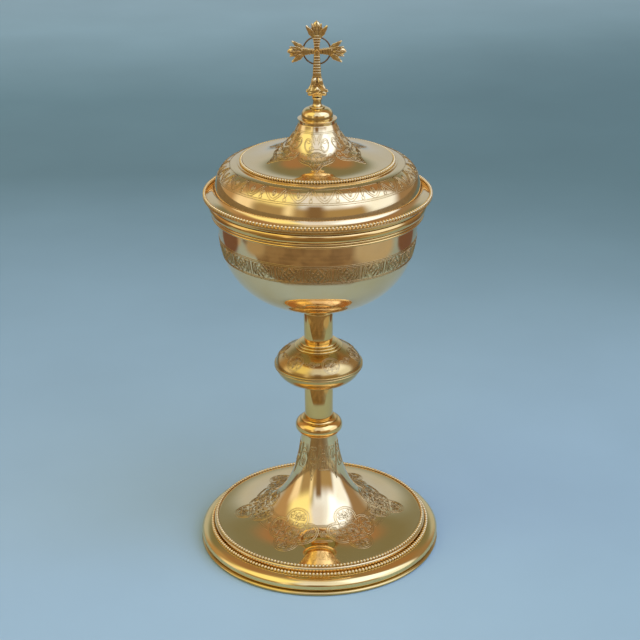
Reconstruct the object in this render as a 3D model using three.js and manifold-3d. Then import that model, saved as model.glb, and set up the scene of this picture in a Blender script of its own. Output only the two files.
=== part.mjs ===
// A covered gilt ciborium: a spun foot, a stem with a knop, an open bowl and a lift-off lid with a cross.
// Millimetres, +Z up, origin at the middle of the foot's underside, the cross facing -Y.
import * as THREE from 'three';
import { mergeVertices } from 'three/addons/utils/BufferGeometryUtils.js';
import Module from 'manifold-3d';

// Shared clearances and walls
const SHEET = 1.2; // wall of the spun foot, bowl and lid
const FIT = 0.3; // gap between curved faces that meet
const SLIDE = 0.4; // radial gap between the bezel and the bowl
const TUBE_WALL = 0.8; // wall of the stem tubes

// Foot
const FOOT_RADIUS = 75; // radius of the flange that the foot stands on
const FLANGE_HEIGHT = 2.6;
const FLANGE_WIDTH = 11;
const FLANGE_ROUND = 0.9; // rounding of the flange's outer edge
const RIM_SETBACK = 0.2; // flange showing outside the rim
const RIM_PROJECTION = 7; // half-round rim, measured outwards
const RIM_HEIGHT = 7.9;
const RIM_BULGE_SHARE = 0.42; // widest part of the rim, as a share of its height
const RIM_ARC_END = 75; // degrees of the rim's arc above its widest part
const RIM_LEDGE_OFFSET = 1.12; // ledge's outer edge outside the middle of the rim
const RIM_LEDGE = 6.6; // width of the flat on top of the rim
const FOOT_OUTER_WIRE = 0.95; // radius of the outer beaded wire
const FOOT_INNER_WIRE = 0.85; // radius of the inner beaded wire
const BAND_HEIGHT = 4.1; // plain band between the beaded wires
const BAND_LIP = 2.5; // width of the band's top, under the inner wire
const SHELF_HEIGHT = 3; // height of the band's shelf, under the plate
const SHELF_WIDTH = 2.2;
const TRUMPET_HEIGHT = 58.5; // from the plate's edge to the top of the trumpet
const TRUMPET_TOP_RADIUS = 10.8;
const PLATE_REACH = 34.8; // how far the plate stays flat before it turns up
const TRUMPET_DROP = 39.7; // how far down the trumpet stays nearly upright
const TRUMPET_FLARE = 3.3;

// Stem
const COLLAR_RADIUS = 14.55; // bulging collar on top of the trumpet
const COLLAR_HEIGHT = 8.7;
const COLLAR_BULGE = 5.25;
const COLLAR_ARC = 63; // degrees of the collar's arc above and below its middle
const COLLAR_RING_RADIUS = 11.2;
const COLLAR_RING_HEIGHT = 1.7;
const TUBE_RADIUS = 8.75;
const LOWER_TUBE_LENGTH = 22.4;
const UPPER_TUBE_LENGTH = 18.9;
const KNOP_RADIUS = 26.2;
const KNOP_LOWER_DEPTH = 14.1; // half height of the knop below its girdle
const KNOP_UPPER_DEPTH = 13.9; // half height of the knop above its girdle
const KNOP_SEAT_RADIUS = 9.4; // flat under the knop
const KNOP_MOUTH_RADIUS = 10; // opening under the knop's cap
const GIRDLE_HEIGHT = 2.4;
const GIRDLE_PROJECTION = 0.7;
const CAP_RADIUS = 14.5; // stepped cap on the knop
const CAP_STEP = 1.5;
const CAP_STEPS = 3;
const CAP_UPRIGHT = 0.6; // upright share of a step's height
const CAP_HEIGHT = 2.3;
const ROD_RADIUS = 3;
const ROD_END = 6; // rod showing under the nut
const NUT_FLATS = 10;
const NUT_HEIGHT = 5;
const WASHER_HEIGHT = 2;
const WASHER_LEVEL = 36; // washer's underside above the plate's edge

// Cup
const CUP_COLLAR_RADIUS = 9.7;
const CUP_COLLAR_HEIGHT = 1.6;
const SAUCER_RADIUS = 13; // small dish that the bowl sits in
const SAUCER_FLAT = 9.2;
const CUP_SEAT_DEPTH = 4; // saucer's underside to the bowl's underside
const STUD_PLATE_RADIUS = 8.6;
const STUD_PLATE_HEIGHT = 2.2;
const BOWL_RADIUS = 58.55;
const BOWL_DEPTH = 53.9; // round part of the bowl
const BOWL_FULLNESS = 2.4; // 2 is a plain ellipse, more is squarer
const BOWL_NECK = 14.4; // upright part of the bowl
const BAND_TOP_HEIGHT = 3.1; // upper band of the rim moulding
const BAND_TOP_PROJECTION = 4.6;
const BAND_TOP_ROUND = 0.9; // rounding of the upper band's edge
const MOULDING_HEIGHT = 5; // ovolo under the upper band
const MOULDING_PROJECTION = 4.9;
const OVOLO_INSET = 2.3; // depth of the ovolo's curve
const OVOLO_SHARE = 0.58; // widest part of the ovolo, as a share of its height
const FILLET_HEIGHT = 3.2; // double ring under the ovolo
const FILLET_PROJECTION = 3.5;

// Lid
const BRIM_OVERHANG = 8.45; // brim's reach outside the bowl
const BRIM_EDGE = 1.3; // thickness of the brim's edge
const BRIM_RISE = 4.5; // height of the brim at the foot of the dome
const BRIM_WIRE = 0.95; // radius of the brim's beaded wire
const BRIM_SEAT = 2.1; // width of the flat under that wire
const BEZEL_DEPTH = 9.3; // bezel reaching down into the bowl
const DOME_OVERHANG = 1.75; // foot of the dome outside the bowl
const DOME_HEIGHT = 15.6;
const DOME_SHOULDER = 14.3; // how far up the dome's wall pulls its curve
const DOME_LEAN = 1.4; // how far inwards it pulls
const DOME_CROWN = 3.4; // how far the top edge pulls the curve outwards
const DOME_SAG = 0.2; // and downwards
const DISC_RADIUS = 46.9; // top edge of the dome
const DISC_LIP = 4.6; // lip inside that edge
const DISC_RING_HEIGHT = 0.7;
const DISC_RING_SETBACK = 0.6;
const DISC_WIRE = 0.9; // radius of the disc's beaded wire
const DISC_WIRE_SETBACK = 2.55;
const CONE_HEIGHT = 21.3;
const CONE_TOP_RADIUS = 11;
const CONE_REACH = 19; // how far the disc stays flat
const CONE_DROP = 10.5;
const CONE_FLARE = 3;

// Finial
const LIP_RADIUS = 11.4;
const LIP_HEIGHT = 2.4;
const BOSS_RADIUS = 9.3;
const BOSS_DEPTH = 6.9;
const NECK_FOOT_RADIUS = 4.5;
const NECK_WAIST_RADIUS = 2.4;
const NECK_TOP_RADIUS = 2.9;
const NECK_HEIGHT = 5.9;
const NECK_BENDS = [0.15, 0.28, 0.52, 0.72, 0.84]; // levels of the neck's bends as shares of its height
const STUD_RADIUS = 1.4;
const STUD_END = 1.5; // stud showing under its nut
const FINIAL_NUT_FLATS = 7;
const FINIAL_NUT_HEIGHT = 2.6;
const FINIAL_WASHER_RADIUS = 7.5;
const FINIAL_WASHER_HEIGHT = 1.2;
const CROSS_FOOT = 26.5; // foot of the cross to the crossing
const CROSS_TOP = 17.6; // crossing to the top
const CROSS_ARM = 17; // crossing to the end of a side arm
const CROSS_HALF_WIDTH = 1.7;
const SHAFT_HALF_WIDTH = 2.05;
const CROSS_THICKNESS = 3.2;
const CROSS_TIP = 6.2; // leaf tips beside an arm's axis
const LEAF_START = 0.42; // start of a leaf as a share of its arm
const LEAF_DEPTH = 3.6; // tips of the side leaves to the arm's end
const LEAF_HOLLOW = 2.5; // pull of a side leaf's curve towards the crossing
const END_LEAF_HALF = 2.85; // half width of the leaf that ends an arm
const END_LEAF_ROUND = 0.6; // fullness of that leaf
const BELL_START = 0.54; // top of the bell-shaped foot as a share of the shaft
const BELL_FLARE = 0.72; // where the bell turns outwards
const BELL_WIDEST = 0.84;
const BELL_ROUND = 0.97; // lowest point of the bell's rounded corner
const NIMBUS_RADIUS = 7.7; // wire ring behind the crossing
const NIMBUS_WIRE = 0.45;

// Sides of the turned pieces
const LARGE_SIDES = 36;
const MEDIUM_SIDES = 20;
const SMALL_SIDES = 16;
const WIRE_SIDES = 5;
const BOWL_STEPS = 9; // straight parts along the bowl's curve

const wasm = await Module();
wasm.setup();

const ciborium = new THREE.Group();

const FINISHES = {
  polished: { color: 0xd9a648, roughness: 0.14, metalness: 1 },
  wire: { color: 0xe0b25a, roughness: 0.26, metalness: 1 },
  cast: { color: 0xcf9a3c, roughness: 0.32, metalness: 1 },
  plain: { color: 0xb58b4a, roughness: 0.45, metalness: 1 },
};

// Adds a named piece to the object
function addPiece(name, geometry, finish) {
  const piece = new THREE.Mesh(geometry, new THREE.MeshStandardMaterial(FINISHES[finish]));
  piece.name = name;
  ciborium.add(piece);
}

// Signed area of an outline, positive when it runs anticlockwise
function outlineArea(outline) {
  let area = 0;
  outline.forEach(([r, z], i) => {
    const [nextR, nextZ] = outline[(i + 1) % outline.length];
    area += (r * nextZ - nextR * z) / 2;
  });
  return area;
}

// Turns a [radius, height] outline about the Z axis: off the axis it closes on itself
function turned(outline, sides) {
  const ordered = outlineArea(outline) > 0 ? outline : [...outline].reverse();
  const points = ordered.map(([r, z]) => new THREE.Vector2(r, z));
  const onAxis = ordered[0][0] === 0 && ordered[ordered.length - 1][0] === 0;
  if (!onAxis) {
    points.push(points[0].clone());
  }
  return new THREE.LatheGeometry(points, sides).rotateX(Math.PI / 2);
}

function addTurned(name, outline, sides, finish) {
  addPiece(name, turned(outline, sides), finish);
}

// Points of an elliptical arc, angles in degrees
function arc(centreR, centreZ, semiR, semiZ, from, to, steps) {
  return Array.from({ length: steps + 1 }, (_, i) => {
    const angle = THREE.MathUtils.degToRad(THREE.MathUtils.lerp(from, to, i / steps));
    return [centreR + semiR * Math.cos(angle), centreZ + semiZ * Math.sin(angle)];
  });
}

// Points of a cubic curve between two [radius, height] ends
function curve(start, startHandle, endHandle, end, steps) {
  const [a, b, c, d] = [start, startHandle, endHandle, end].map(([r, z]) => new THREE.Vector2(r, z));
  return new THREE.CubicBezierCurve(a, b, c, d).getPoints(steps).map((p) => [p.x, p.y]);
}

// Point of a sheet's inner face beside one point of its path: its ends are cut level or upright
function innerPoint(path, i, wall) {
  const [r, z] = path[i];
  const [r0, z0] = path[Math.max(i - 1, 0)];
  const [r1, z1] = path[Math.min(i + 1, path.length - 1)];
  const before = new THREE.Vector2(r - r0, z - z0).normalize();
  const after = new THREE.Vector2(r1 - r, z1 - z).normalize();
  const along = before.clone().add(after).normalize();
  if (i > 0 && i < path.length - 1) {
    const mitre = wall / Math.max(along.dot(before), 0.5);
    return [r - along.y * mitre, z + along.x * mitre];
  }
  if (Math.abs(along.y) > Math.abs(along.x)) {
    return [r - wall / along.y, z];
  }
  return [r, z + wall / along.x];
}

// Outline of a sheet of even thickness on the left of a path that runs upwards
function sheetOutline(path, wall) {
  return [...path, ...path.map((_, i) => innerPoint(path, i, wall)).reverse()];
}

// Radius of a path at a height, by straight lines between its points
function radiusAt(path, height) {
  const i = path.findIndex(([, z], n) => n > 0 && z >= height && path[n - 1][1] < height);
  const [r0, z0] = path[i - 1];
  const [r1, z1] = path[i];
  return THREE.MathUtils.mapLinear(height, z0, z1, r0, r1);
}

// A plain round wire laid in a ring
function addWire(name, ringRadius, level, wireRadius) {
  const turn = 360 / WIRE_SIDES;
  const end = 360 - turn * 0.75;
  const section = arc(ringRadius, level, wireRadius, wireRadius, turn / 4, end, WIRE_SIDES - 1);
  addTurned(name, section, LARGE_SIDES, 'wire');
}

// A flat ring or a tube
function addRing(name, innerRadius, outerRadius, bottom, top, sides, finish) {
  const outline = [[innerRadius, bottom], [outerRadius, bottom], [outerRadius, top], [innerRadius, top]];
  addTurned(name, outline, sides, finish);
}

// A solid round rod
function addRod(name, radius, bottom, top) {
  addTurned(name, [[0, bottom], [radius, bottom], [radius, top], [0, top]], SMALL_SIDES, 'plain');
}

// Turns a closed geometry into a solid that can be cut
function toSolid(geometry) {
  const bare = geometry.clone();
  bare.deleteAttribute('normal');
  bare.deleteAttribute('uv');
  const merged = mergeVertices(bare, 1e-4);
  const vertProperties = new Float32Array(merged.attributes.position.array);
  const triVerts = new Uint32Array(merged.index.array);
  return new wasm.Manifold(new wasm.Mesh({ numProp: 3, vertProperties, triVerts }));
}

// Turns a solid back into a geometry
function toGeometry(solid) {
  const mesh = solid.getMesh();
  const geometry = new THREE.BufferGeometry();
  geometry.setAttribute('position', new THREE.BufferAttribute(mesh.vertProperties, 3));
  geometry.setIndex(new THREE.BufferAttribute(mesh.triVerts, 1));
  geometry.computeVertexNormals();
  return geometry;
}

// A hexagon nut with a clear bore
function addNut(name, flats, boreRadius, bottom, height) {
  const corner = flats / Math.sqrt(3);
  const hexagon = new THREE.CylinderGeometry(corner, corner, height, 6);
  hexagon.rotateX(Math.PI / 2).translate(0, 0, bottom + height / 2);
  const bore = new THREE.CylinderGeometry(boreRadius, boreRadius, height * 2, SMALL_SIDES);
  bore.rotateX(Math.PI / 2).translate(0, 0, bottom + height / 2);
  addPiece(name, toGeometry(toSolid(hexagon).subtract(toSolid(bore))), 'plain');
}

// Foot
const rodBore = ROD_RADIUS + FIT;
const flangeInner = FOOT_RADIUS - FLANGE_WIDTH;
const flangeOutline = [
  [flangeInner, 0],
  [FOOT_RADIUS - FLANGE_ROUND, 0],
  [FOOT_RADIUS, FLANGE_ROUND],
  [FOOT_RADIUS, FLANGE_HEIGHT - FLANGE_ROUND],
  [FOOT_RADIUS - FLANGE_ROUND, FLANGE_HEIGHT],
  [flangeInner, FLANGE_HEIGHT],
];
addTurned('foot_base_ring', flangeOutline, LARGE_SIDES, 'polished');

const rimCentre = FOOT_RADIUS - RIM_SETBACK - RIM_PROJECTION;
const rimTop = FLANGE_HEIGHT + RIM_HEIGHT;
const rimLevel = FLANGE_HEIGHT + RIM_HEIGHT * RIM_BULGE_SHARE;
const rimRise = rimTop - rimLevel;
const rimFootAngle = THREE.MathUtils.radToDeg(Math.asin((FLANGE_HEIGHT - rimLevel) / rimRise));
const rimArc = arc(rimCentre, rimLevel, RIM_PROJECTION, rimRise, rimFootAngle, RIM_ARC_END, 6);
rimArc[0][1] = FLANGE_HEIGHT;
const ledgeOuter = rimCentre + RIM_LEDGE_OFFSET;
const ledgeInner = ledgeOuter - RIM_LEDGE;
const rimPath = [...rimArc, [ledgeOuter, rimTop], [ledgeInner, rimTop]];
addTurned('foot_rim', sheetOutline(rimPath, SHEET), LARGE_SIDES, 'polished');

const outerWireRing = ledgeOuter - FOOT_OUTER_WIRE;
addWire('foot_bead_outer', outerWireRing, rimTop + FIT + FOOT_OUTER_WIRE, FOOT_OUTER_WIRE);

const bandOuter = outerWireRing - FOOT_OUTER_WIRE - FIT;
const bandTop = rimTop + BAND_HEIGHT;
const bandLipInner = bandOuter - BAND_LIP;
const shelfTop = rimTop + SHELF_HEIGHT;
const bandOutline = [
  [bandLipInner - SHELF_WIDTH, rimTop],
  [bandOuter, rimTop],
  [bandOuter, bandTop],
  [bandLipInner, bandTop],
  [bandLipInner, shelfTop],
  [bandLipInner - SHELF_WIDTH, shelfTop],
];
addTurned('foot_band', bandOutline, LARGE_SIDES, 'polished');

const innerWireRing = bandOuter - BAND_LIP / 2 - FIT;
addWire('foot_bead_inner', innerWireRing, bandTop + FIT + FOOT_INNER_WIRE, FOOT_INNER_WIRE);

const plateEdge = [bandLipInner - FIT, shelfTop + FIT + SHEET];
const trumpetTop = plateEdge[1] + TRUMPET_HEIGHT;
const trumpetPath = curve(
  plateEdge,
  [plateEdge[0] - PLATE_REACH, plateEdge[1]],
  [TRUMPET_TOP_RADIUS + TRUMPET_FLARE, trumpetTop - TRUMPET_DROP],
  [TRUMPET_TOP_RADIUS, trumpetTop],
  10,
);
const trumpetOutline = sheetOutline(trumpetPath, SHEET);
addTurned('foot_plate', trumpetOutline, LARGE_SIDES, 'polished');

// Collar and lower tube
const collarCentre = trumpetTop + COLLAR_HEIGHT / 2;
const collarTop = trumpetTop + COLLAR_HEIGHT;
const collarRise = COLLAR_HEIGHT / 2 / Math.sin(THREE.MathUtils.degToRad(COLLAR_ARC));
const collarMiddle = COLLAR_RADIUS - COLLAR_BULGE;
const collarArc = arc(collarMiddle, collarCentre, COLLAR_BULGE, collarRise, -COLLAR_ARC, COLLAR_ARC, 6);
collarArc[0][1] = trumpetTop;
collarArc[collarArc.length - 1][1] = collarTop;
const collarOutline = [[rodBore, trumpetTop], ...collarArc, [rodBore, collarTop]];
addTurned('foot_collar', collarOutline, MEDIUM_SIDES, 'polished');

const tubeFoot = collarTop + COLLAR_RING_HEIGHT;
const collarRingOutline = [
  [rodBore, collarTop],
  [COLLAR_RING_RADIUS, collarTop],
  [COLLAR_RING_RADIUS, collarTop + COLLAR_RING_HEIGHT / 3],
  [COLLAR_RING_RADIUS - COLLAR_RING_HEIGHT / 2, tubeFoot - COLLAR_RING_HEIGHT / 4],
  [COLLAR_RING_RADIUS - COLLAR_RING_HEIGHT, tubeFoot],
  [rodBore, tubeFoot],
];
addTurned('foot_collar_ring', collarRingOutline, MEDIUM_SIDES, 'polished');

const knopSeat = tubeFoot + LOWER_TUBE_LENGTH;
const tubeBore = TUBE_RADIUS - TUBE_WALL;
addRing('stem_tube_lower', tubeBore, TUBE_RADIUS, tubeFoot, knopSeat, MEDIUM_SIDES, 'polished');

// Knop
const acrossKnop = (radius) => Math.sqrt(1 - (radius / KNOP_RADIUS) ** 2);
const knopCentre = knopSeat + KNOP_LOWER_DEPTH * acrossKnop(KNOP_SEAT_RADIUS);
const knopTopAt = (radius) => knopCentre + KNOP_UPPER_DEPTH * acrossKnop(radius);
const angleAtRadius = (radius) => THREE.MathUtils.radToDeg(Math.acos(radius / KNOP_RADIUS));
const seatAngle = angleAtRadius(KNOP_SEAT_RADIUS);
const lowerArc = arc(0, knopCentre, KNOP_RADIUS, KNOP_LOWER_DEPTH, -seatAngle, 0, 6);
const lowerPath = [[rodBore, knopSeat], ...lowerArc];
addTurned('knop_lower_shell', sheetOutline(lowerPath, SHEET), MEDIUM_SIDES, 'polished');

const mouthAngle = angleAtRadius(KNOP_MOUTH_RADIUS);
const upperPath = arc(0, knopCentre, KNOP_RADIUS, KNOP_UPPER_DEPTH, 0, mouthAngle, 6);
addTurned('knop_upper_shell', sheetOutline(upperPath, SHEET), MEDIUM_SIDES, 'polished');

const girdleInner = KNOP_RADIUS + FIT;
const girdleArc = arc(girdleInner, knopCentre, GIRDLE_PROJECTION, GIRDLE_HEIGHT / 2, -90, 90, 5);
addTurned('knop_girdle', girdleArc, MEDIUM_SIDES, 'polished');

const capSeat = knopTopAt(KNOP_MOUTH_RADIUS) + FIT;
const capTop = capSeat + CAP_HEIGHT;
const capEdge = knopTopAt(CAP_RADIUS) + FIT;
const capStepHeight = (capTop - capEdge) / CAP_STEPS;
const capStairs = Array.from({ length: CAP_STEPS }, (_, step) => [
  [CAP_RADIUS - CAP_STEP * step, capEdge + capStepHeight * step],
  [CAP_RADIUS - CAP_STEP * step, capEdge + capStepHeight * (step + CAP_UPRIGHT)],
]);
const capOutline = [
  [rodBore, capSeat],
  [KNOP_MOUTH_RADIUS, capSeat],
  ...capStairs.flat(),
  [CAP_RADIUS - CAP_STEP * CAP_STEPS, capTop],
  [rodBore, capTop],
];
addTurned('knop_cap', capOutline, MEDIUM_SIDES, 'polished');

const cupCollarFoot = capTop + UPPER_TUBE_LENGTH;
addRing('stem_tube_upper', tubeBore, TUBE_RADIUS, capTop, cupCollarFoot, MEDIUM_SIDES, 'polished');

// Saucer and bowl
const saucerFoot = cupCollarFoot + CUP_COLLAR_HEIGHT;
const cupCollarHalf = CUP_COLLAR_HEIGHT / 2;
const cupCollarFlat = CUP_COLLAR_RADIUS - cupCollarHalf;
const cupCollarOutline = [
  [rodBore, cupCollarFoot],
  ...arc(cupCollarFlat, saucerFoot - cupCollarHalf, cupCollarHalf, cupCollarHalf, -90, 90, 4),
  [rodBore, saucerFoot],
];
addTurned('cup_collar', cupCollarOutline, MEDIUM_SIDES, 'polished');

const bowlFoot = saucerFoot + CUP_SEAT_DEPTH;
const bowlCentre = bowlFoot + BOWL_DEPTH;
const bowlRim = bowlCentre + BOWL_NECK;
const bowlPoint = (angle) => [
  BOWL_RADIUS * Math.cos(angle) ** (2 / BOWL_FULLNESS),
  bowlCentre - BOWL_DEPTH * Math.sin(angle) ** (2 / BOWL_FULLNESS),
];
const bowlBottomAt = (radius) => {
  const share = 1 - (radius / BOWL_RADIUS) ** BOWL_FULLNESS;
  return bowlCentre - BOWL_DEPTH * share ** (1 / BOWL_FULLNESS);
};
const bowlTurn = Math.PI / 2 / BOWL_STEPS;
const bowlRound = Array.from({ length: BOWL_STEPS }, (_, i) => bowlPoint(bowlTurn * (BOWL_STEPS - 1 - i)));
const bowlPath = [[0, bowlFoot], ...bowlRound, [BOWL_RADIUS, bowlRim]];
addTurned('bowl', sheetOutline(bowlPath, SHEET), LARGE_SIDES, 'polished');

const saucerInner = SAUCER_RADIUS - SHEET;
const saucerTop = bowlBottomAt(saucerInner) - FIT;
const saucerPath = [
  [rodBore, saucerFoot],
  ...curve(
    [SAUCER_FLAT, saucerFoot],
    [(SAUCER_FLAT + SAUCER_RADIUS) / 2, saucerFoot],
    [SAUCER_RADIUS, saucerFoot + SHEET * 2],
    [SAUCER_RADIUS, saucerTop],
    5,
  ),
];
addTurned('cup_saucer', sheetOutline(saucerPath, SHEET), MEDIUM_SIDES, 'polished');

const studPlateTop = bowlFoot - FIT;
const studPlateFoot = studPlateTop - STUD_PLATE_HEIGHT;
addRing('cup_stud_plate', rodBore, STUD_PLATE_RADIUS, studPlateFoot, studPlateTop, MEDIUM_SIDES, 'plain');

// Tie rod through the stem, with its washer and nut under the trumpet
const washerFoot = plateEdge[1] + WASHER_LEVEL;
const trumpetInner = trumpetOutline.slice(trumpetPath.length).reverse();
const washerRadius = radiusAt(trumpetInner, washerFoot + WASHER_HEIGHT) - FIT;
addRing('tie_washer', rodBore, washerRadius, washerFoot, washerFoot + WASHER_HEIGHT, MEDIUM_SIDES, 'plain');
addNut('tie_nut', NUT_FLATS, rodBore, washerFoot - NUT_HEIGHT, NUT_HEIGHT);
addRod('tie_rod', ROD_RADIUS, washerFoot - NUT_HEIGHT - ROD_END, studPlateTop);

// Mouldings round the bowl's rim
const mouldingInner = BOWL_RADIUS + FIT;
const bandTopFoot = bowlRim - BAND_TOP_HEIGHT;
const bandTopFlat = mouldingInner + BAND_TOP_PROJECTION - BAND_TOP_ROUND;
const bandTopHalf = BAND_TOP_HEIGHT / 2;
const bandTopOutline = [
  [mouldingInner, bandTopFoot],
  ...arc(bandTopFlat, bowlRim - bandTopHalf, BAND_TOP_ROUND, bandTopHalf, -90, 90, 6),
  [mouldingInner, bowlRim],
];
addTurned('bowl_rim_band', bandTopOutline, LARGE_SIDES, 'polished');

const mouldingFoot = bandTopFoot - MOULDING_HEIGHT;
const ovoloRise = MOULDING_HEIGHT * OVOLO_SHARE;
const ovoloEnd = THREE.MathUtils.radToDeg(Math.asin(1 / OVOLO_SHARE - 1));
const ovoloInner = mouldingInner + MOULDING_PROJECTION - OVOLO_INSET;
const ovoloArc = arc(ovoloInner, mouldingFoot + ovoloRise, OVOLO_INSET, ovoloRise, -90, ovoloEnd, 6);
ovoloArc[ovoloArc.length - 1][1] = bandTopFoot;
const mouldingOutline = [[mouldingInner, mouldingFoot], ...ovoloArc, [mouldingInner, bandTopFoot]];
addTurned('bowl_rim_moulding', mouldingOutline, LARGE_SIDES, 'polished');

const beadHalf = FILLET_HEIGHT / 4;
const beadMiddle = mouldingInner + FILLET_PROJECTION - beadHalf;
const filletOutline = [
  [mouldingInner, mouldingFoot - FILLET_HEIGHT],
  ...arc(beadMiddle, mouldingFoot - beadHalf * 3, beadHalf, beadHalf, -90, 90, 4),
  ...arc(beadMiddle, mouldingFoot - beadHalf, beadHalf, beadHalf, -90, 90, 4).slice(1),
  [mouldingInner, mouldingFoot],
];
addTurned('bowl_rim_fillet', filletOutline, LARGE_SIDES, 'polished');

// Brim and bezel of the lid
const bezelOuter = BOWL_RADIUS - SHEET - SLIDE;
const bezelInner = bezelOuter - SHEET;
addRing('lid_bezel', bezelInner, bezelOuter, bowlRim - BEZEL_DEPTH, bowlRim, LARGE_SIDES, 'polished');

const brimRadius = BOWL_RADIUS + BRIM_OVERHANG;
const brimEdgeTop = bowlRim + BRIM_EDGE;
const domeFoot = bowlRim + BRIM_RISE;
const domeRadius = BOWL_RADIUS + DOME_OVERHANG;
const brimOutline = [
  [bezelInner, bowlRim],
  [brimRadius - BRIM_EDGE / 3, bowlRim],
  [brimRadius, bowlRim + BRIM_EDGE / 3],
  [brimRadius, brimEdgeTop],
  ...curve(
    [brimRadius - BRIM_SEAT, brimEdgeTop],
    [brimRadius - BRIM_SEAT * 2, brimEdgeTop],
    [domeRadius + FIT, brimEdgeTop + BRIM_EDGE / 2],
    [domeRadius + FIT, domeFoot],
    4,
  ),
  [domeRadius - SHEET, domeFoot],
  [bezelInner, brimEdgeTop],
];
addTurned('lid_brim', brimOutline, LARGE_SIDES, 'polished');
addWire('lid_brim_bead', brimRadius - BRIM_WIRE, brimEdgeTop + FIT + BRIM_WIRE, BRIM_WIRE);

// Dome, disc and bell of the lid
const domeTop = domeFoot + DOME_HEIGHT;
const domePath = [
  ...curve(
    [domeRadius, domeFoot],
    [domeRadius - DOME_LEAN, domeFoot + DOME_SHOULDER],
    [DISC_RADIUS + DOME_CROWN, domeTop - DOME_SAG],
    [DISC_RADIUS, domeTop],
    7,
  ),
  [DISC_RADIUS - DISC_LIP, domeTop],
];
addTurned('lid_dome', sheetOutline(domePath, SHEET), LARGE_SIDES, 'polished');

const discTop = domeTop + DISC_RING_HEIGHT;
const discRingRadius = DISC_RADIUS - DISC_RING_SETBACK;
const discRingInner = DISC_RADIUS - DISC_LIP;
addRing('lid_disc_ring', discRingInner, discRingRadius, domeTop, discTop, LARGE_SIDES, 'polished');

const discWireRing = DISC_RADIUS - DISC_WIRE_SETBACK;
addWire('lid_disc_bead', discWireRing, discTop + FIT + DISC_WIRE, DISC_WIRE);

const coneEdge = [discWireRing - DISC_WIRE - FIT, discTop + FIT + SHEET];
const coneTop = coneEdge[1] + CONE_HEIGHT;
const conePath = curve(
  coneEdge,
  [coneEdge[0] - CONE_REACH, coneEdge[1]],
  [CONE_TOP_RADIUS + CONE_FLARE, coneTop - CONE_DROP],
  [CONE_TOP_RADIUS, coneTop],
  10,
);
addTurned('lid_cone', sheetOutline(conePath, SHEET), LARGE_SIDES, 'polished');

// Finial
const studBore = STUD_RADIUS + FIT;
const lipTop = coneTop + LIP_HEIGHT;
const lipOutline = [
  [studBore, coneTop],
  [LIP_RADIUS - LIP_HEIGHT / 4, coneTop],
  [LIP_RADIUS - LIP_HEIGHT / 4, lipTop - LIP_HEIGHT / 2],
  [LIP_RADIUS, lipTop - LIP_HEIGHT / 3],
  [LIP_RADIUS, lipTop],
  [studBore, lipTop],
];
addTurned('finial_lip', lipOutline, MEDIUM_SIDES, 'polished');

const bossEnd = THREE.MathUtils.radToDeg(Math.acos(NECK_FOOT_RADIUS / BOSS_RADIUS));
const bossArc = arc(0, lipTop, BOSS_RADIUS, BOSS_DEPTH, 0, bossEnd, 6);
const bossTop = bossArc[bossArc.length - 1][1];
addTurned('finial_boss', [[studBore, lipTop], ...bossArc, [studBore, bossTop]], MEDIUM_SIDES, 'polished');

const neckTop = bossTop + NECK_HEIGHT;
const neckBends = NECK_BENDS.map((share) => bossTop + NECK_HEIGHT * share);
const neckOutline = [
  [studBore, bossTop],
  [NECK_FOOT_RADIUS, bossTop],
  [NECK_FOOT_RADIUS, neckBends[0]],
  [(NECK_FOOT_RADIUS + NECK_WAIST_RADIUS) / 2, neckBends[1]],
  [NECK_WAIST_RADIUS, neckBends[2]],
  [NECK_WAIST_RADIUS, neckBends[3]],
  [NECK_TOP_RADIUS, neckBends[4]],
  [NECK_TOP_RADIUS, neckTop],
  [studBore, neckTop],
];
addTurned('finial_neck', neckOutline, SMALL_SIDES, 'polished');

const finialWasherFoot = coneTop - FINIAL_WASHER_HEIGHT;
const finialNutFoot = finialWasherFoot - FINIAL_NUT_HEIGHT;
addRing('finial_washer', studBore, FINIAL_WASHER_RADIUS, finialWasherFoot, coneTop, SMALL_SIDES, 'plain');
addNut('finial_nut', FINIAL_NUT_FLATS, studBore, finialNutFoot, FINIAL_NUT_HEIGHT);
addRod('finial_stud', STUD_RADIUS, finialNutFoot - STUD_END, neckTop - FIT);

const corner = (x, y) => new THREE.Vector2(x, y);

// Half of a leaf-ended arm, from the crossing to its tip, along and beside the arm's axis
function leafArm(reach) {
  const tip = reach - LEAF_DEPTH;
  const sideLeaf = new THREE.QuadraticBezierCurve(
    corner(reach * LEAF_START, CROSS_HALF_WIDTH),
    corner(tip - LEAF_HOLLOW, SHAFT_HALF_WIDTH),
    corner(tip, CROSS_TIP),
  );
  const endLeaf = new THREE.QuadraticBezierCurve(
    corner(tip, END_LEAF_HALF),
    corner(reach - END_LEAF_ROUND, END_LEAF_HALF),
    corner(reach, 0),
  );
  return [...sideLeaf.getPoints(4), ...endLeaf.getPoints(4)];
}

// Half of the bell-shaped foot of the cross
function bellFoot(reach) {
  const bell = new THREE.QuadraticBezierCurve(
    corner(reach * BELL_START, SHAFT_HALF_WIDTH),
    corner(reach * BELL_FLARE, CROSS_TIP / 2),
    corner(reach * BELL_WIDEST, CROSS_TIP),
  );
  const foot = new THREE.QuadraticBezierCurve(
    corner(reach * BELL_WIDEST, CROSS_TIP),
    corner(reach, CROSS_TIP),
    corner(reach * BELL_ROUND, NECK_TOP_RADIUS),
  );
  return [...bell.getPoints(4), ...foot.getPoints(3).slice(1), corner(reach, NECK_TOP_RADIUS)];
}

// Full outline of an arm that points at an angle, anticlockwise
function armOutline(half, angle) {
  const mirrored = half.map((p) => corner(p.x, -p.y));
  const back = [...half].reverse().filter((p) => p.y > 0);
  return [...mirrored, ...back].map((p) => p.clone().rotateAround(corner(0, 0), angle));
}

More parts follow.
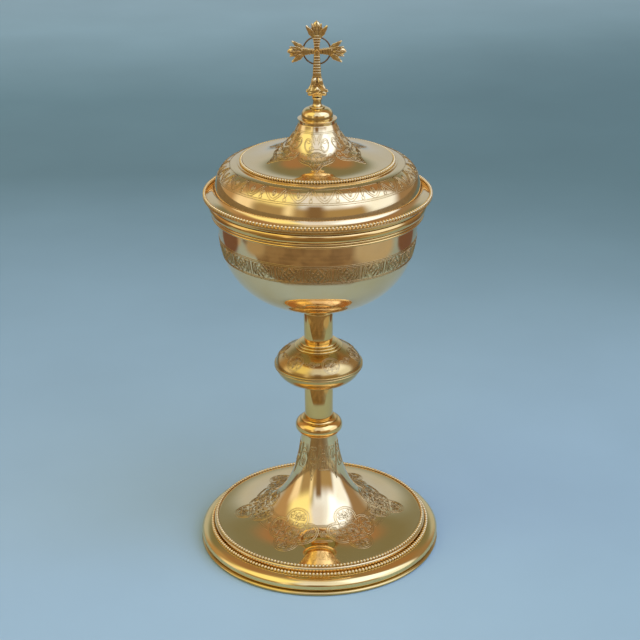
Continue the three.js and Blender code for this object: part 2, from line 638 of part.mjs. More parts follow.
const crossOutline = [
  ...armOutline(leafArm(CROSS_ARM), 0),
  corner(SHAFT_HALF_WIDTH, CROSS_HALF_WIDTH),
  ...armOutline(leafArm(CROSS_TOP), Math.PI / 2),
  corner(-SHAFT_HALF_WIDTH, CROSS_HALF_WIDTH),
  ...armOutline(leafArm(CROSS_ARM), Math.PI),
  corner(-SHAFT_HALF_WIDTH, -CROSS_HALF_WIDTH),
  ...armOutline(bellFoot(CROSS_FOOT), -Math.PI / 2),
  corner(SHAFT_HALF_WIDTH, -CROSS_HALF_WIDTH),
];
const crossing = neckTop + CROSS_FOOT;
const crossGeometry = new THREE.ExtrudeGeometry(new THREE.Shape(crossOutline), {
  depth: CROSS_THICKNESS,
  bevelEnabled: false,
});
crossGeometry.rotateX(Math.PI / 2).translate(0, CROSS_THICKNESS / 2, crossing);
addPiece('cross', crossGeometry, 'cast');

const nimbusGeometry = new THREE.TorusGeometry(NIMBUS_RADIUS, NIMBUS_WIRE, 6, 32);
nimbusGeometry.rotateX(Math.PI / 2).translate(0, CROSS_THICKNESS / 2 + FIT + NIMBUS_WIRE, crossing);
addPiece('cross_nimbus', nimbusGeometry, 'wire');

export default ciborium;
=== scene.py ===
"""A covered gilt ciborium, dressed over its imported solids.

Each turned piece is spun again from a fine profile, the milled wires get their beads, the cross its
leaves, and the engraving is laid on the turned faces as fine lines with raised lips. Outlines are
written in millimetres as (radius, height); meshes are in metres.
"""

import cmath
import logging
import math
from collections.abc import Iterable, Sequence
from dataclasses import dataclass, field
from enum import Enum

import bpy
import numpy as np
from mathutils import Matrix, Vector


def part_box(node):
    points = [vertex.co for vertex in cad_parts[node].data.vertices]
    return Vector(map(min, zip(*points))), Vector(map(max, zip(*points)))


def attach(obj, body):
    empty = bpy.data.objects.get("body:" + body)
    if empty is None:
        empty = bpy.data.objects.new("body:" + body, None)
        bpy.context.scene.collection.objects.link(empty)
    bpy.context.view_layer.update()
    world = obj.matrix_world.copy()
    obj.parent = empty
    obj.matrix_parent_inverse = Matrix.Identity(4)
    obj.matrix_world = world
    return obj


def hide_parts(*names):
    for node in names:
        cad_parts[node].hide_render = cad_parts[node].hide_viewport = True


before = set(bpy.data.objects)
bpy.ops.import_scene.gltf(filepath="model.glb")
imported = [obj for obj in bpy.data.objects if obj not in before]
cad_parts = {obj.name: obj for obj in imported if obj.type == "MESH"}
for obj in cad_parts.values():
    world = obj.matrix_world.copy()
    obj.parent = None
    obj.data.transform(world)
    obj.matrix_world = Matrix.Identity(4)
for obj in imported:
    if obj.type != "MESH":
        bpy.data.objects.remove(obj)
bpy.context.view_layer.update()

MM = 0.001
SHEET = 1.2
FIT = 0.3
LARGE_STEPS = 216
MEDIUM_STEPS = 120
SMALL_STEPS = 72
SMOOTH_ANGLE = math.radians(32)

Point = tuple[float, float]
Outline = list[Point]
Strokes = list[np.ndarray]
Colour = tuple[float, float, float]
Place = tuple[float, float, float]
Stops = Sequence[tuple[float, Colour]]
Piece = bpy.types.Object
Tree = bpy.types.NodeTree
Socket = bpy.types.NodeSocket

log = logging.getLogger("ciborium")


class Body(Enum):
    """The rigid bodies that pieces ride on."""

    BASE = "base"
    BEZEL = "lid_bezel_ring"
    LID = "lid"


class Slot(Enum):
    """The record's material slots."""

    POLISHED = "gilt_polished"
    ENGRAVED = "gilt_engraved"
    WIRE = "gilt_wire"
    CAST = "gilt_cast"
    PLAIN = "plain_brass"


# Outlines


def arc(centre: Point, semi: Point, start: float, end: float, steps: int = 24) -> Outline:
    """Points of an elliptical arc.

    Args:
        centre: Middle of the ellipse.
        semi: Half sizes along the radius and the height.
        start: First angle in degrees, from the outward direction.
        end: Last angle in degrees.
        steps: Number of straight parts.

    Returns:
        The points from start to end.
    """
    angles = np.radians(np.linspace(start, end, steps + 1))
    return [(centre[0] + semi[0] * math.cos(a), centre[1] + semi[1] * math.sin(a)) for a in angles]


def curve(start: Point, lead: Point, follow: Point, end: Point, steps: int = 60) -> Outline:
    """Points of a cubic curve.

    Args:
        start: First point.
        lead: Handle of the first point.
        follow: Handle of the last point.
        end: Last point.
        steps: Number of straight parts.

    Returns:
        The points from start to end.
    """
    t = np.linspace(0, 1, steps + 1)[:, None]
    a, b, c, d = (np.array(p) for p in (start, lead, follow, end))
    points = (1 - t) ** 3 * a + 3 * t * (1 - t) ** 2 * b + 3 * t**2 * (1 - t) * c + t**3 * d
    return [(float(r), float(z)) for r, z in points]


def sheet(path: Outline, wall: float = SHEET) -> Outline:
    """Outline of a sheet of even thickness on the left of a path that runs upwards.

    Args:
        path: The outer face.
        wall: Thickness of the sheet.

    Returns:
        The closed outline.
    """
    points = np.array(path)
    steps = np.diff(points, axis=0)
    steps /= np.linalg.norm(steps, axis=1)[:, None]
    inner: Outline = []
    for i, (r, z) in enumerate(points):
        before, after = steps[max(i - 1, 0)], steps[min(i, len(steps) - 1)]
        along = before + after
        along /= np.linalg.norm(along)
        if 0 < i < len(points) - 1:
            mitre = wall / max(float(along @ before), 0.5)
            inner.append((r - along[1] * mitre, z + along[0] * mitre))
        elif abs(along[1]) > abs(along[0]):
            inner.append((r - wall / along[1], z))
        else:
            inner.append((r, z + wall / along[0]))
    return [*path, *reversed(inner)]


def softened(outline: Outline, radius: float, sharp: float = 24.0) -> Outline:
    """Rounds the sharp corners of a closed outline.

    Args:
        outline: The closed outline.
        radius: How far from a corner its rounding starts.
        sharp: The smallest turn, in degrees, that is rounded.

    Returns:
        The outline with three points in place of each sharp corner.
    """
    result: Outline = []
    count = len(outline)
    for i, corner in enumerate(outline):
        here = np.array(corner)
        back, ahead = np.array(outline[i - 1]) - here, np.array(outline[(i + 1) % count]) - here
        long_back, long_ahead = np.linalg.norm(back), np.linalg.norm(ahead)
        if corner[0] < 1e-6 or min(long_back, long_ahead) < 1e-6:
            result.append(corner)
            continue
        back, ahead = back / long_back, ahead / long_ahead
        turn = 180 - math.degrees(math.acos(float(np.clip(back @ ahead, -1, 1))))
        if turn < sharp:
            result.append(corner)
            continue
        reach = min(radius, 0.45 * long_back, 0.45 * long_ahead)
        first, last = here + back * reach, here + ahead * reach
        middle = (first + last) / 4 + here / 2
        result += [(float(p[0]), float(p[1])) for p in (first, middle, last)]
    return result


def ring_outline(inner: float, outer: float, bottom: float, top: float, edge: float = 0.25) -> Outline:
    """Outline of a flat ring or a tube with softened edges."""
    return softened([(inner, bottom), (outer, bottom), (outer, top), (inner, top)], edge)


# Modelling


def deselect() -> None:
    """Leaves nothing selected."""
    bpy.ops.object.select_all(action="DESELECT")


def named(name: str) -> Piece:
    """Names the object that was just added, and returns it."""
    piece = bpy.context.object
    piece.name = name
    piece.data.name = name
    return piece


def edit_all() -> None:
    """Starts editing the active object with all of it selected."""
    bpy.ops.object.mode_set(mode="EDIT")
    bpy.ops.mesh.select_all(action="SELECT")


def close_up() -> None:
    """Merges the doubles of the mesh being edited, turns its faces outwards and ends editing."""
    bpy.ops.mesh.select_all(action="SELECT")
    bpy.ops.mesh.remove_doubles(threshold=1e-6)
    bpy.ops.mesh.delete_loose(use_verts=True, use_edges=True, use_faces=False)
    bpy.ops.mesh.select_all(action="SELECT")
    bpy.ops.mesh.normals_make_consistent(inside=False)
    bpy.ops.object.mode_set(mode="OBJECT")


def spun(name: str, outline: Outline, steps: int = LARGE_STEPS) -> Piece:
    """Spins a closed outline round the vessel's axis.

    Args:
        name: Name of the piece.
        outline: Closed outline in millimetres.
        steps: Number of steps of the spin.

    Returns:
        The new piece.
    """
    deselect()
    bpy.ops.mesh.primitive_circle_add(vertices=len(outline), radius=1.0)
    piece = named(name)
    for vertex, (r, z) in zip(piece.data.vertices, outline):
        vertex.co = (r * MM, 0.0, z * MM)
    edit_all()
    bpy.ops.mesh.spin(steps=steps, angle=math.tau, center=(0, 0, 0), axis=(0, 0, 1))
    close_up()
    bpy.ops.object.shade_smooth_by_angle(angle=SMOOTH_ANGLE)
    return piece


def place_mesh(piece: Piece) -> None:
    """Puts a selected object's place, turn and size into its mesh."""
    bpy.ops.object.transform_apply(location=True, rotation=True, scale=True)
    piece.data.update()


def apply_modifiers(piece: Piece) -> None:
    """Applies all modifiers of the active object in their order."""
    for modifier in list(piece.modifiers):
        bpy.ops.object.modifier_apply(modifier=modifier.name)


def joined(pieces: Sequence[Piece], name: str) -> Piece:
    """Joins several objects into one piece.

    Args:
        pieces: The objects to join.
        name: Name of the result.

    Returns:
        The joined piece.
    """
    deselect()
    for piece in pieces:
        piece.select_set(True)
    bpy.context.view_layer.objects.active = pieces[0]
    bpy.ops.object.join()
    return named(name)


def copy_of(piece: Piece, matrix: Matrix) -> Piece:
    """Copies a piece with its own mesh, moved by a matrix.

    Args:
        piece: The piece to copy.
        matrix: Where the copy goes, applied to its mesh.

    Returns:
        The copy.
    """
    copy = piece.copy()
    copy.data = piece.data.copy()
    copy.data.transform(matrix)
    if matrix.determinant() < 0:
        copy.data.flip_normals()
    bpy.context.collection.objects.link(copy)
    return copy


def milled_wire(name: str, ring: float, level: float, radius: float, count: int) -> Piece:
    """A wire rolled into a row of beads and laid in a ring.

    Args:
        name: Name of the piece.
        ring: Radius of the ring.
        level: Height of the wire's middle.
        radius: Radius of a bead.
        count: Number of beads in the ring.

    Returns:
        The beads and the thin wire between them, as one piece.
    """
    deselect()
    at = (ring * MM, 0.0, level * MM)
    bpy.ops.mesh.primitive_uv_sphere_add(segments=10, ring_count=6, radius=radius * MM, location=at)
    bead = named(name)
    length = math.pi * ring / count / radius
    edit_all()
    bpy.ops.transform.resize(value=(1.0, length * 0.86, 1.0), center_override=at)
    bpy.ops.object.mode_set(mode="OBJECT")
    place_mesh(bead)
    bpy.ops.object.empty_add(location=(0, 0, 0), rotation=(0, 0, math.tau / count))
    turn = bpy.context.object
    deselect()
    bead.select_set(True)
    bpy.context.view_layer.objects.active = bead
    row = bead.modifiers.new("row", "ARRAY")
    row.use_relative_offset = False
    row.use_object_offset = True
    row.offset_object = turn
    row.count = count
    apply_modifiers(bead)
    bpy.data.objects.remove(turn)
    bpy.ops.object.shade_smooth()
    core = spun(name + "_core", arc((ring, level), (radius * 0.35, radius * 0.35), 0, 315, 7))
    return joined([bead, core], name)


def hex_nut(name: str, flats: float, bore: float, bottom: float, height: float) -> Piece:
    """A hexagon nut with softened corners.

    Args:
        name: Name of the piece.
        flats: Size across the flats.
        bore: Radius of the hole.
        bottom: Height of its underside.
        height: Its own height.

    Returns:
        The nut.
    """
    deselect()
    corner = flats / math.sqrt(3)
    bpy.ops.mesh.primitive_cylinder_add(
        vertices=6, radius=corner * MM, depth=height * MM, location=(0, 0, (bottom + height / 2) * MM)
    )
    nut = named(name)
    place_mesh(nut)
    edit_all()
    bpy.ops.mesh.select_all(action="DESELECT")
    bpy.ops.object.mode_set(mode="OBJECT")
    for face in nut.data.polygons:
        face.select = abs(face.normal.z) > 0.9
    bpy.ops.object.mode_set(mode="EDIT")
    bpy.ops.mesh.inset(thickness=(flats / 2 - bore) * MM, use_individual=True)
    bpy.ops.mesh.delete(type="ONLY_FACE")
    bpy.ops.mesh.select_all(action="DESELECT")
    bpy.ops.mesh.select_non_manifold()
    bpy.ops.mesh.bridge_edge_loops()
    close_up()
    bevel = nut.modifiers.new("corners", "BEVEL")
    bevel.width = 0.35 * MM
    bevel.segments = 2
    apply_modifiers(nut)
    bpy.ops.object.shade_smooth_by_angle(angle=SMOOTH_ANGLE)
    return nut


def threaded_rod(name: str, radius: float, bottom: float, top: float, thread_top: float) -> Piece:
    """A rod whose lower end is cut with a fine thread.

    Args:
        name: Name of the piece.
        radius: Radius of the rod.
        bottom: Height of its lower end.
        top: Height of its upper end.
        thread_top: Height where the thread ends.

    Returns:
        The rod.
    """
    pitch, depth = radius / 4, radius / 9
    outline: Outline = [(0.0, bottom), (radius - 2 * depth, bottom), (radius - depth, bottom + pitch / 2)]
    level = bottom + pitch
    while level < thread_top:
        outline += [(radius, level), (radius - depth, level + pitch / 2)]
        level += pitch
    outline += [(radius, level), (radius, top), (0.0, top)]
    return spun(name, outline, SMALL_STEPS)


# Finishes


def node(
    tree: Tree, kind: str, values: dict[str | int, object] | None = None, **settings: object
) -> bpy.types.Node:
    """Adds a node.

    Args:
        tree: Where it goes.
        kind: Its type.
        values: What its inputs get, each a socket to link or a plain value.
        settings: Its properties.

    Returns:
        The node.
    """
    made = tree.nodes.new(kind)
    for key, value in settings.items():
        setattr(made, key, value)
    for key, value in (values or {}).items():
        if isinstance(value, Socket):
            tree.links.new(value, made.inputs[key])
        else:
            made.inputs[key].default_value = value
    return made


def maths(tree: Tree, operation: str, *values: object) -> Socket:
    """Adds a Math node whose values are numbers or sockets, and returns its result."""
    return node(tree, "ShaderNodeMath", dict(enumerate(values)), operation=operation).outputs[0]


def mixed(tree: Tree, factor: object, under: object, over: object) -> Socket:
    """Mixes two colours, each a socket or a plain colour, and returns the result."""
    values = {"Factor": factor, "A": under, "B": over}
    return node(tree, "ShaderNodeMix", values, data_type="RGBA").outputs["Result"]


def ranged(
    tree: Tree,
    value: Socket,
    low: float,
    high: float,
    first: object = 0.0,
    last: object = 1.0,
    soft: bool = True,
) -> Socket:
    """Maps a range of values onto another.

    Args:
        tree: Where the node goes.
        value: The value.
        low: Where the range starts.
        high: Where the range ends.
        first: Result at the start and before it.
        last: Result at the end and past it.
        soft: Whether the result eases in and out.

    Returns:
        The mapped value.
    """
    values = {"Value": value, "From Min": low, "From Max": high, "To Min": first, "To Max": last}
    style = "SMOOTHSTEP" if soft else "LINEAR"
    return node(tree, "ShaderNodeMapRange", values, interpolation_type=style).outputs["Result"]


def colour_ramp(tree: Tree, value: Socket, stops: Stops) -> Socket:
    """Adds a colour ramp.

    Args:
        tree: Where the node goes.
        value: The value that runs along the ramp.
        stops: Places along the ramp with their colours.

    Returns:
        The ramp's colour.
    """
    made = node(tree, "ShaderNodeValToRGB", {"Fac": value})
    elements = made.color_ramp.elements
    for place, colour in stops[1:-1]:
        elements.new(place).color = (*colour, 1)
    for end in (0, -1):
        elements[end].position = stops[end][0]
        elements[end].color = (*stops[end][1], 1)
    return made.outputs["Color"]


def node_group(
    name: str, given: dict[str, object], result: str, kind: str = "Float"
) -> tuple[Tree, bpy.types.bpy_prop_collection, Socket]:
    """Starts a node group.

    Args:
        name: Name of the group.
        given: Its inputs with their defaults, each a number or a colour.
        result: Name of its output.
        kind: Float or Color, for the output.

    Returns:
        The group, the sockets of its inputs, and the socket that takes its result.
    """
    tree = bpy.data.node_groups.new(name, "ShaderNodeTree")
    for label, value in given.items():
        socket_type = "NodeSocketColor" if isinstance(value, tuple) else "NodeSocketFloat"
        tree.interface.new_socket(name=label, in_out="INPUT", socket_type=socket_type).default_value = value
    tree.interface.new_socket(name=result, in_out="OUTPUT", socket_type="NodeSocket" + kind)
    return tree, node(tree, "NodeGroupInput").outputs, node(tree, "NodeGroupOutput").inputs[0]


def cloudy_gilding() -> Tree:
    """Node group: gilding whose colour drifts between a pale and a deep tone.

    Returns:
        The group.
    """
    given = {"Pale": (0.9, 0.7, 0.3, 1), "Deep": (0.8, 0.5, 0.15, 1), "Scale": 30.0, "Deepening": 0.5}
    tree, inputs, result = node_group("cloudy_gilding", given, "Color", "Color")
    place = node(tree, "ShaderNodeTexCoord").outputs["Object"]
    clouds = {"Vector": place, "Scale": inputs["Scale"], "Detail": 5.0, "Roughness": 0.6}
    noise = node(tree, "ShaderNodeTexNoise", clouds)
    contrast = colour_ramp(tree, noise.outputs["Fac"], [(0.38, (0, 0, 0)), (0.68, (1, 1, 1))])
    share = maths(tree, "MULTIPLY", contrast, inputs["Deepening"])
    tree.links.new(mixed(tree, share, inputs["Pale"], inputs["Deep"]), result)
    return tree


def handled_gloss() -> Tree:
    """Node group: roughness of a polish that hands have smudged.

    Returns:
        The group.
    """
    given = {"Clean": 0.08, "Smudged": 0.25, "Scale": 45.0}
    tree, inputs, result = node_group("handled_gloss", given, "Roughness")
    place = node(tree, "ShaderNodeTexCoord").outputs["Object"]
    smudges = {"Vector": place, "Scale": inputs["Scale"], "Detail": 8.0, "Roughness": 0.72, "Distortion": 0.6}
    noise = node(tree, "ShaderNodeTexNoise", smudges)
    gloss = ranged(tree, noise.outputs["Fac"], 0.42, 0.75, inputs["Clean"], inputs["Smudged"], soft=False)
    tree.links.new(gloss, result)
    return tree


def spun_surface() -> Tree:
    """Node group: height of the polishing lines and soft waves that turning leaves in sheet metal.

    Returns:
        The group.
    """
    tree, inputs, result = node_group("spun_surface", {"Lines": 0.3, "Waves": 0.5, "Grain": 0.0}, "Height")
    place = node(tree, "ShaderNodeTexCoord").outputs["Object"]
    x, y, z = node(tree, "ShaderNodeSeparateXYZ", {0: place}).outputs
    radius = maths(tree, "SQRT", maths(tree, "MULTIPLY_ADD", y, y, maths(tree, "MULTIPLY", x, x)))
    lines_per_metre, drift = 2600.0, 25.0
    stretches = ((radius, lines_per_metre), (z, lines_per_metre), (x, drift))
    rolled = [maths(tree, "MULTIPLY", way, scale) for way, scale in stretches]
    round_about = node(tree, "ShaderNodeCombineXYZ", dict(enumerate(rolled))).outputs[0]
    total: object = 0.0
    layers = (("Lines", round_about, 1.0, 3.0), ("Waves", place, 55.0, 1.5), ("Grain", place, 2200.0, 4.0))
    for label, vector, scale, detail in layers:
        noise = node(tree, "ShaderNodeTexNoise", {"Vector": vector, "Scale": scale, "Detail": detail})
        total = maths(tree, "MULTIPLY_ADD", noise.outputs["Fac"], inputs[label], total)
    tree.links.new(total, result)
    return tree


def recess_shade() -> Tree:
    """Node group: a colour darkened where a surface is sunk between its neighbours, partly tarnish and partly
    painted shade.

    Returns:
        The group.
    """
    given = {"Color": (0.8, 0.6, 0.3, 1), "Tarnish and shade": (0.38, 0.29, 0.1, 1), "Amount": 0.6, "Reach": 1.2 * MM}
    tree, inputs, result = node_group("recess_shade", given, "Color", "Color")
    shade = node(tree, "ShaderNodeAmbientOcclusion", {"Distance": inputs["Reach"]}, samples=6)
    sunk = maths(tree, "SUBTRACT", 1.0, shade.outputs["AO"])
    share = maths(tree, "MULTIPLY", sunk, inputs["Amount"])
    tree.links.new(mixed(tree, share, inputs["Color"], inputs["Tarnish and shade"]), result)
    return tree


@dataclass(frozen=True)
class Gilding:
    """A gilt or brass finish.

    The heights of its lines, waves and grain are in thousandths of a millimetre.
    """

    name: str
    pale: Colour
    deep: Colour
    clean: float
    smudged: float
    lines: float = 1.0
    waves: float = 0.0
    grain: float = 0.0
    # The darkening of recesses set below is partly tarnish and partly painted shade.
    tarnish_and_shade: float = 0.0
    tarnish_and_shade_colour: Colour = (0.38, 0.29, 0.1)
    reach: float = 1.2
    cloud_scale: float = 28.0
    deepening: float = 0.6

    def material(self, groups: dict[str, Tree]) -> bpy.types.Material:
        """Builds the material.

        Args:
            groups: The shared node groups by name.

        Returns:
            The material.
        """
        made = bpy.data.materials.new(self.name)
        made.use_nodes = True
        tree = made.node_tree
        tones = {"Pale": (*self.pale, 1), "Deep": (*self.deep, 1)}
        tones |= {"Scale": self.cloud_scale, "Deepening": self.deepening}
        colour = node(tree, "ShaderNodeGroup", tones, node_tree=groups["cloudy_gilding"]).outputs["Color"]
        # Recesses darkened: partly tarnish, partly painted shade.
        if self.tarnish_and_shade:
            recess_darkening = {"Color": colour, "Tarnish and shade": (*self.tarnish_and_shade_colour, 1)}
            recess_darkening |= {"Amount": self.tarnish_and_shade, "Reach": self.reach * MM}
            colour = node(tree, "ShaderNodeGroup", recess_darkening, node_tree=groups["recess_shade"]).outputs["Color"]
        polish = {"Clean": self.clean, "Smudged": self.smudged}
        gloss = node(tree, "ShaderNodeGroup", polish, node_tree=groups["handled_gloss"])
        heights = {"Lines": self.lines, "Waves": self.waves, "Grain": self.grain}
        surface = node(tree, "ShaderNodeGroup", heights, node_tree=groups["spun_surface"])
        relief = {"Strength": 1.0, "Distance": MM * MM, "Height": surface.outputs["Height"]}
        bump = node(tree, "ShaderNodeBump", relief)
        shader = tree.nodes["Principled BSDF"]
        shader.inputs["Metallic"].default_value = 1.0
        tree.links.new(colour, shader.inputs["Base Color"])
        tree.links.new(gloss.outputs["Roughness"], shader.inputs["Roughness"])
        tree.links.new(bump.outputs["Normal"], shader.inputs["Normal"])
        return made


POLISHED = Gilding(
    "mirror_gilding", (0.95, 0.7, 0.3), (0.9, 0.59, 0.2), 0.05, 0.14,
    lines=0.25, waves=14.0, tarnish_and_shade=0.85, reach=2.4,
)
DEEP = Gilding(
    "deep_gilding", (0.95, 0.62, 0.23), (0.87, 0.5, 0.14), 0.06, 0.15,
    lines=0.25, waves=14.0, tarnish_and_shade=0.9, reach=2.4,
)
ENGRAVED = Gilding(
    "mirror_gilding_bowl", (0.97, 0.68, 0.37), (0.94, 0.6, 0.26), 0.05, 0.13,
    lines=0.3, waves=22.0, tarnish_and_shade=0.4,
)
GOLDEN = Gilding(
    "mirror_gilding_sheet",
    (0.97, 0.725, 0.38),
    (0.94, 0.64, 0.27),
    0.05,
    0.13,
    lines=0.3,
    waves=22.0,
    tarnish_and_shade=0.5,
    reach=1.6,
)
WORN = Gilding(
    "worn_gilding", (0.75, 0.51, 0.19), (0.58, 0.37, 0.12), 0.15, 0.28,
    lines=0.4, waves=16.0, tarnish_and_shade=0.7, reach=3.0,
)
# The grooves of the cut lines are darkened almost to black: painted shade in the grooves, with some tarnish.
CUT_LINE = Gilding(
    "cut_gilding",
    (0.93, 0.68, 0.32),
    (0.86, 0.56, 0.22),
    0.28,
    0.36,
    lines=0.0,
    grain=2.0,
    tarnish_and_shade=1.0,
    tarnish_and_shade_colour=(0.12, 0.07, 0.03),
    reach=0.5,
)
# The gaps between beads are darkened: painted shade, with some tarnish.
MILLED = Gilding(
    "milled_gilding", (0.97, 0.75, 0.4), (0.88, 0.6, 0.27), 0.12, 0.24, lines=0.0, tarnish_and_shade=0.8, reach=0.7
)
# The cross's recesses are darkened to dark brown: painted shade between its leaves, with some tarnish.
CAST = Gilding(
    "cast_gilding",
    (1.0, 0.78, 0.38),
    (0.85, 0.47, 0.14),
    0.1,
    0.2,
    lines=0.0,
    grain=14.0,
    tarnish_and_shade=1.0,
    tarnish_and_shade_colour=(0.2, 0.08, 0.03),
    reach=1.1,
    cloud_scale=260.0,
)
NIMBUS = Gilding(
    "shaded_wire", (0.3, 0.19, 0.1), (0.16, 0.1, 0.06), 0.3, 0.45, lines=0.0, grain=2.0, cloud_scale=180.0
)
BRASS = Gilding(
    "dull_brass", (0.62, 0.45, 0.2), (0.42, 0.29, 0.12), 0.32, 0.5, lines=2.0, grain=3.0, tarnish_and_shade=0.7
)


@dataclass
class Workshop:
    """Makes each finish once, and gives each piece its finish and body and hides the nodes it stands for."""

    groups: dict[str, Tree] = field(default_factory=dict)
    materials: dict[str, bpy.types.Material] = field(default_factory=dict)

    def __post_init__(self) -> None:
        """Builds the shared node groups."""
        for make in (cloudy_gilding, handled_gloss, spun_surface, recess_shade):
            tree = make()
            self.groups[tree.name] = tree

    def finish(self, gilding: Gilding) -> bpy.types.Material:
        """Returns the material of a finish, made on first use."""
        if gilding.name not in self.materials:
            self.materials[gilding.name] = gilding.material(self.groups)
        return self.materials[gilding.name]

    def fit(self, piece: Piece, gilding: Gilding, body: Body, slot: Slot, *nodes: str) -> None:
        """Dresses a piece and ties it to the frame.

        Args:
            piece: The new piece.
            gilding: Its finish.
            body: The body it rides on.
            slot: The record's slot; not used.
            nodes: The CAD nodes it stands for.
        """
        piece.data.materials.clear()
        piece.data.materials.append(self.finish(gilding))
        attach(piece, body.value)
        if nodes:
            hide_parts(*nodes)
        log.info("%s: %d faces on %s", piece.name, len(piece.data.polygons), body.value)

    def turn(
        self,
        name: str,
        outline: Outline,
        gilding: Gilding,
        body: Body,
        slot: Slot,
        part: str,
        steps: int = LARGE_STEPS,
    ) -> None:
        """Spins a piece, dresses it and ties it to the frame.

        Args:
            name: Name of the piece.
            outline: Its closed outline in millimetres.
            gilding: Its finish.
            body: The body it rides on.
            slot: The record's slot, passed on to fit; not used.
            part: The CAD node it stands for.
            steps: Number of steps of the spin.
        """
        self.fit(spun(name, outline, steps), gilding, body, slot, part)

    def dress_node(self, name: str, gilding: Gilding) -> None:
        """Gives a CAD node that stays its finish."""
        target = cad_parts[name]
        target.data.materials.clear()
        target.data.materials.append(self.finish(gilding))


# Engraving


def line(*points: complex, step: float = 0.8) -> np.ndarray:
    """Points along straight lines between the given ones."""
    parts = [np.array(points[:1])]
    for a, b in zip(points, points[1:]):
        count = max(2, math.ceil(abs(b - a) / step))
        parts.append(a + (b - a) * np.arange(1, count + 1) / count)
    return np.concatenate(parts)


def bow(a: complex, lead: complex, follow: complex, b: complex, steps: int = 10) -> np.ndarray:
    """Points of a cubic curve in the plane of a motif."""
    t = np.linspace(0, 1, steps + 1)
    return (1 - t) ** 3 * a + 3 * t * (1 - t) ** 2 * lead + 3 * t**2 * (1 - t) * follow + t**3 * b


def sweep(centre: complex, radius: float, start: float, end: float, step: float = 0.7) -> np.ndarray:
    """Points of a circular arc, angles in degrees."""
    count = max(6, math.ceil(abs(math.radians(end - start)) * radius / step))
    return centre + radius * np.exp(1j * np.radians(np.linspace(start, end, count + 1)))


def leaf(base: complex, tip: complex, belly: float, vein: bool = True) -> Strokes:
    """A pointed leaf.

    Args:
        base: Where it springs from.
        tip: Its point.
        belly: Its greatest half width as a share of its length.
        vein: Whether it has a middle line.

    Returns:
        The strokes of its two sides and its vein.
    """
    along = tip - base
    side = 1j * along * belly * 1.33
    low, high = base + along * 0.3, base + along * 0.68
    strokes = [bow(base, low + s, high + s * 0.9, tip, 8) for s in (side, -side)]
    if vein:
        strokes.append(line(base + along * 0.12, base + along * 0.75))
    return strokes


def curl(start: complex, heading: float, radius: float, turn: float, steps: int = 14) -> np.ndarray:
    """A tendril that winds up.

    Args:
        start: Where it springs from.
        heading: Its first direction in degrees.
        radius: Radius of its first turn.
        turn: How far it winds in degrees; negative winds clockwise.
        steps: Number of straight parts.

    Returns:
        The points of the tendril.
    """
    points = [start]
    direction = math.radians(heading)
    for i in range(steps):
        size = radius * (1 - 0.72 * i / steps)
        bend = math.radians(turn) / steps
        points.append(points[-1] + abs(bend) * size * np.exp(1j * (direction + bend / 2)))
        direction += bend
    return np.array(points)


def turned(strokes: Iterable[np.ndarray], angle: float, shift: complex = 0) -> Strokes:
    """Strokes turned by an angle in degrees and then shifted."""
    return [s * np.exp(1j * math.radians(angle)) + shift for s in strokes]


def mirrored(strokes: Iterable[np.ndarray]) -> Strokes:
    """Strokes with their left-right mirror images."""
    kept = list(strokes)
    return kept + [-np.conj(s) for s in kept]


def rosette(radius: float, count: int) -> Strokes:
    """A flower of round petals about a small ring."""
    strokes = [sweep(0, radius * 0.22, 0, 360, 0.4)]
    for i in range(count):
        strokes += turned(leaf(0.26 * radius, radius + 0j, 0.3, vein=False), 360 * i / count)
    return strokes


@dataclass
class Face:
    """The outer face of a turned piece, on which engraving is laid."""

    path: Outline
    points: np.ndarray = field(init=False)
    stations: np.ndarray = field(init=False)

    def __post_init__(self) -> None:
        """Measures the stations along the path."""
        self.points = np.array(self.path)
        lengths = np.linalg.norm(np.diff(self.points, axis=0), axis=1)
        self.stations = np.concatenate([[0], np.cumsum(lengths)])

    def radius(self, station: np.ndarray) -> np.ndarray:
        """Radius of the path at a station."""
        return np.interp(station, self.stations, self.points[:, 0])

    def lifted(self, azimuth: np.ndarray, station: np.ndarray, lift: np.ndarray) -> np.ndarray:
        """Points over the face.

        Args:
            azimuth: Angle from the front in radians, to the right.
            station: Distance along the path.
            lift: Height over the face.

        Returns:
            Their places, in millimetres.
        """
        near = 0.25
        low = [np.interp(station - near, self.stations, self.points[:, k]) for k in (0, 1)]
        high = [np.interp(station + near, self.stations, self.points[:, k]) for k in (0, 1)]
        run, rise = high[0] - low[0], high[1] - low[1]
        length = np.maximum(np.hypot(run, rise), 1e-9)
        radius = np.interp(station, self.stations, self.points[:, 0]) + lift * rise / length
        level = np.interp(station, self.stations, self.points[:, 1]) - lift * run / length
        return np.stack([radius * np.sin(azimuth), -radius * np.cos(azimuth), level], axis=-1)


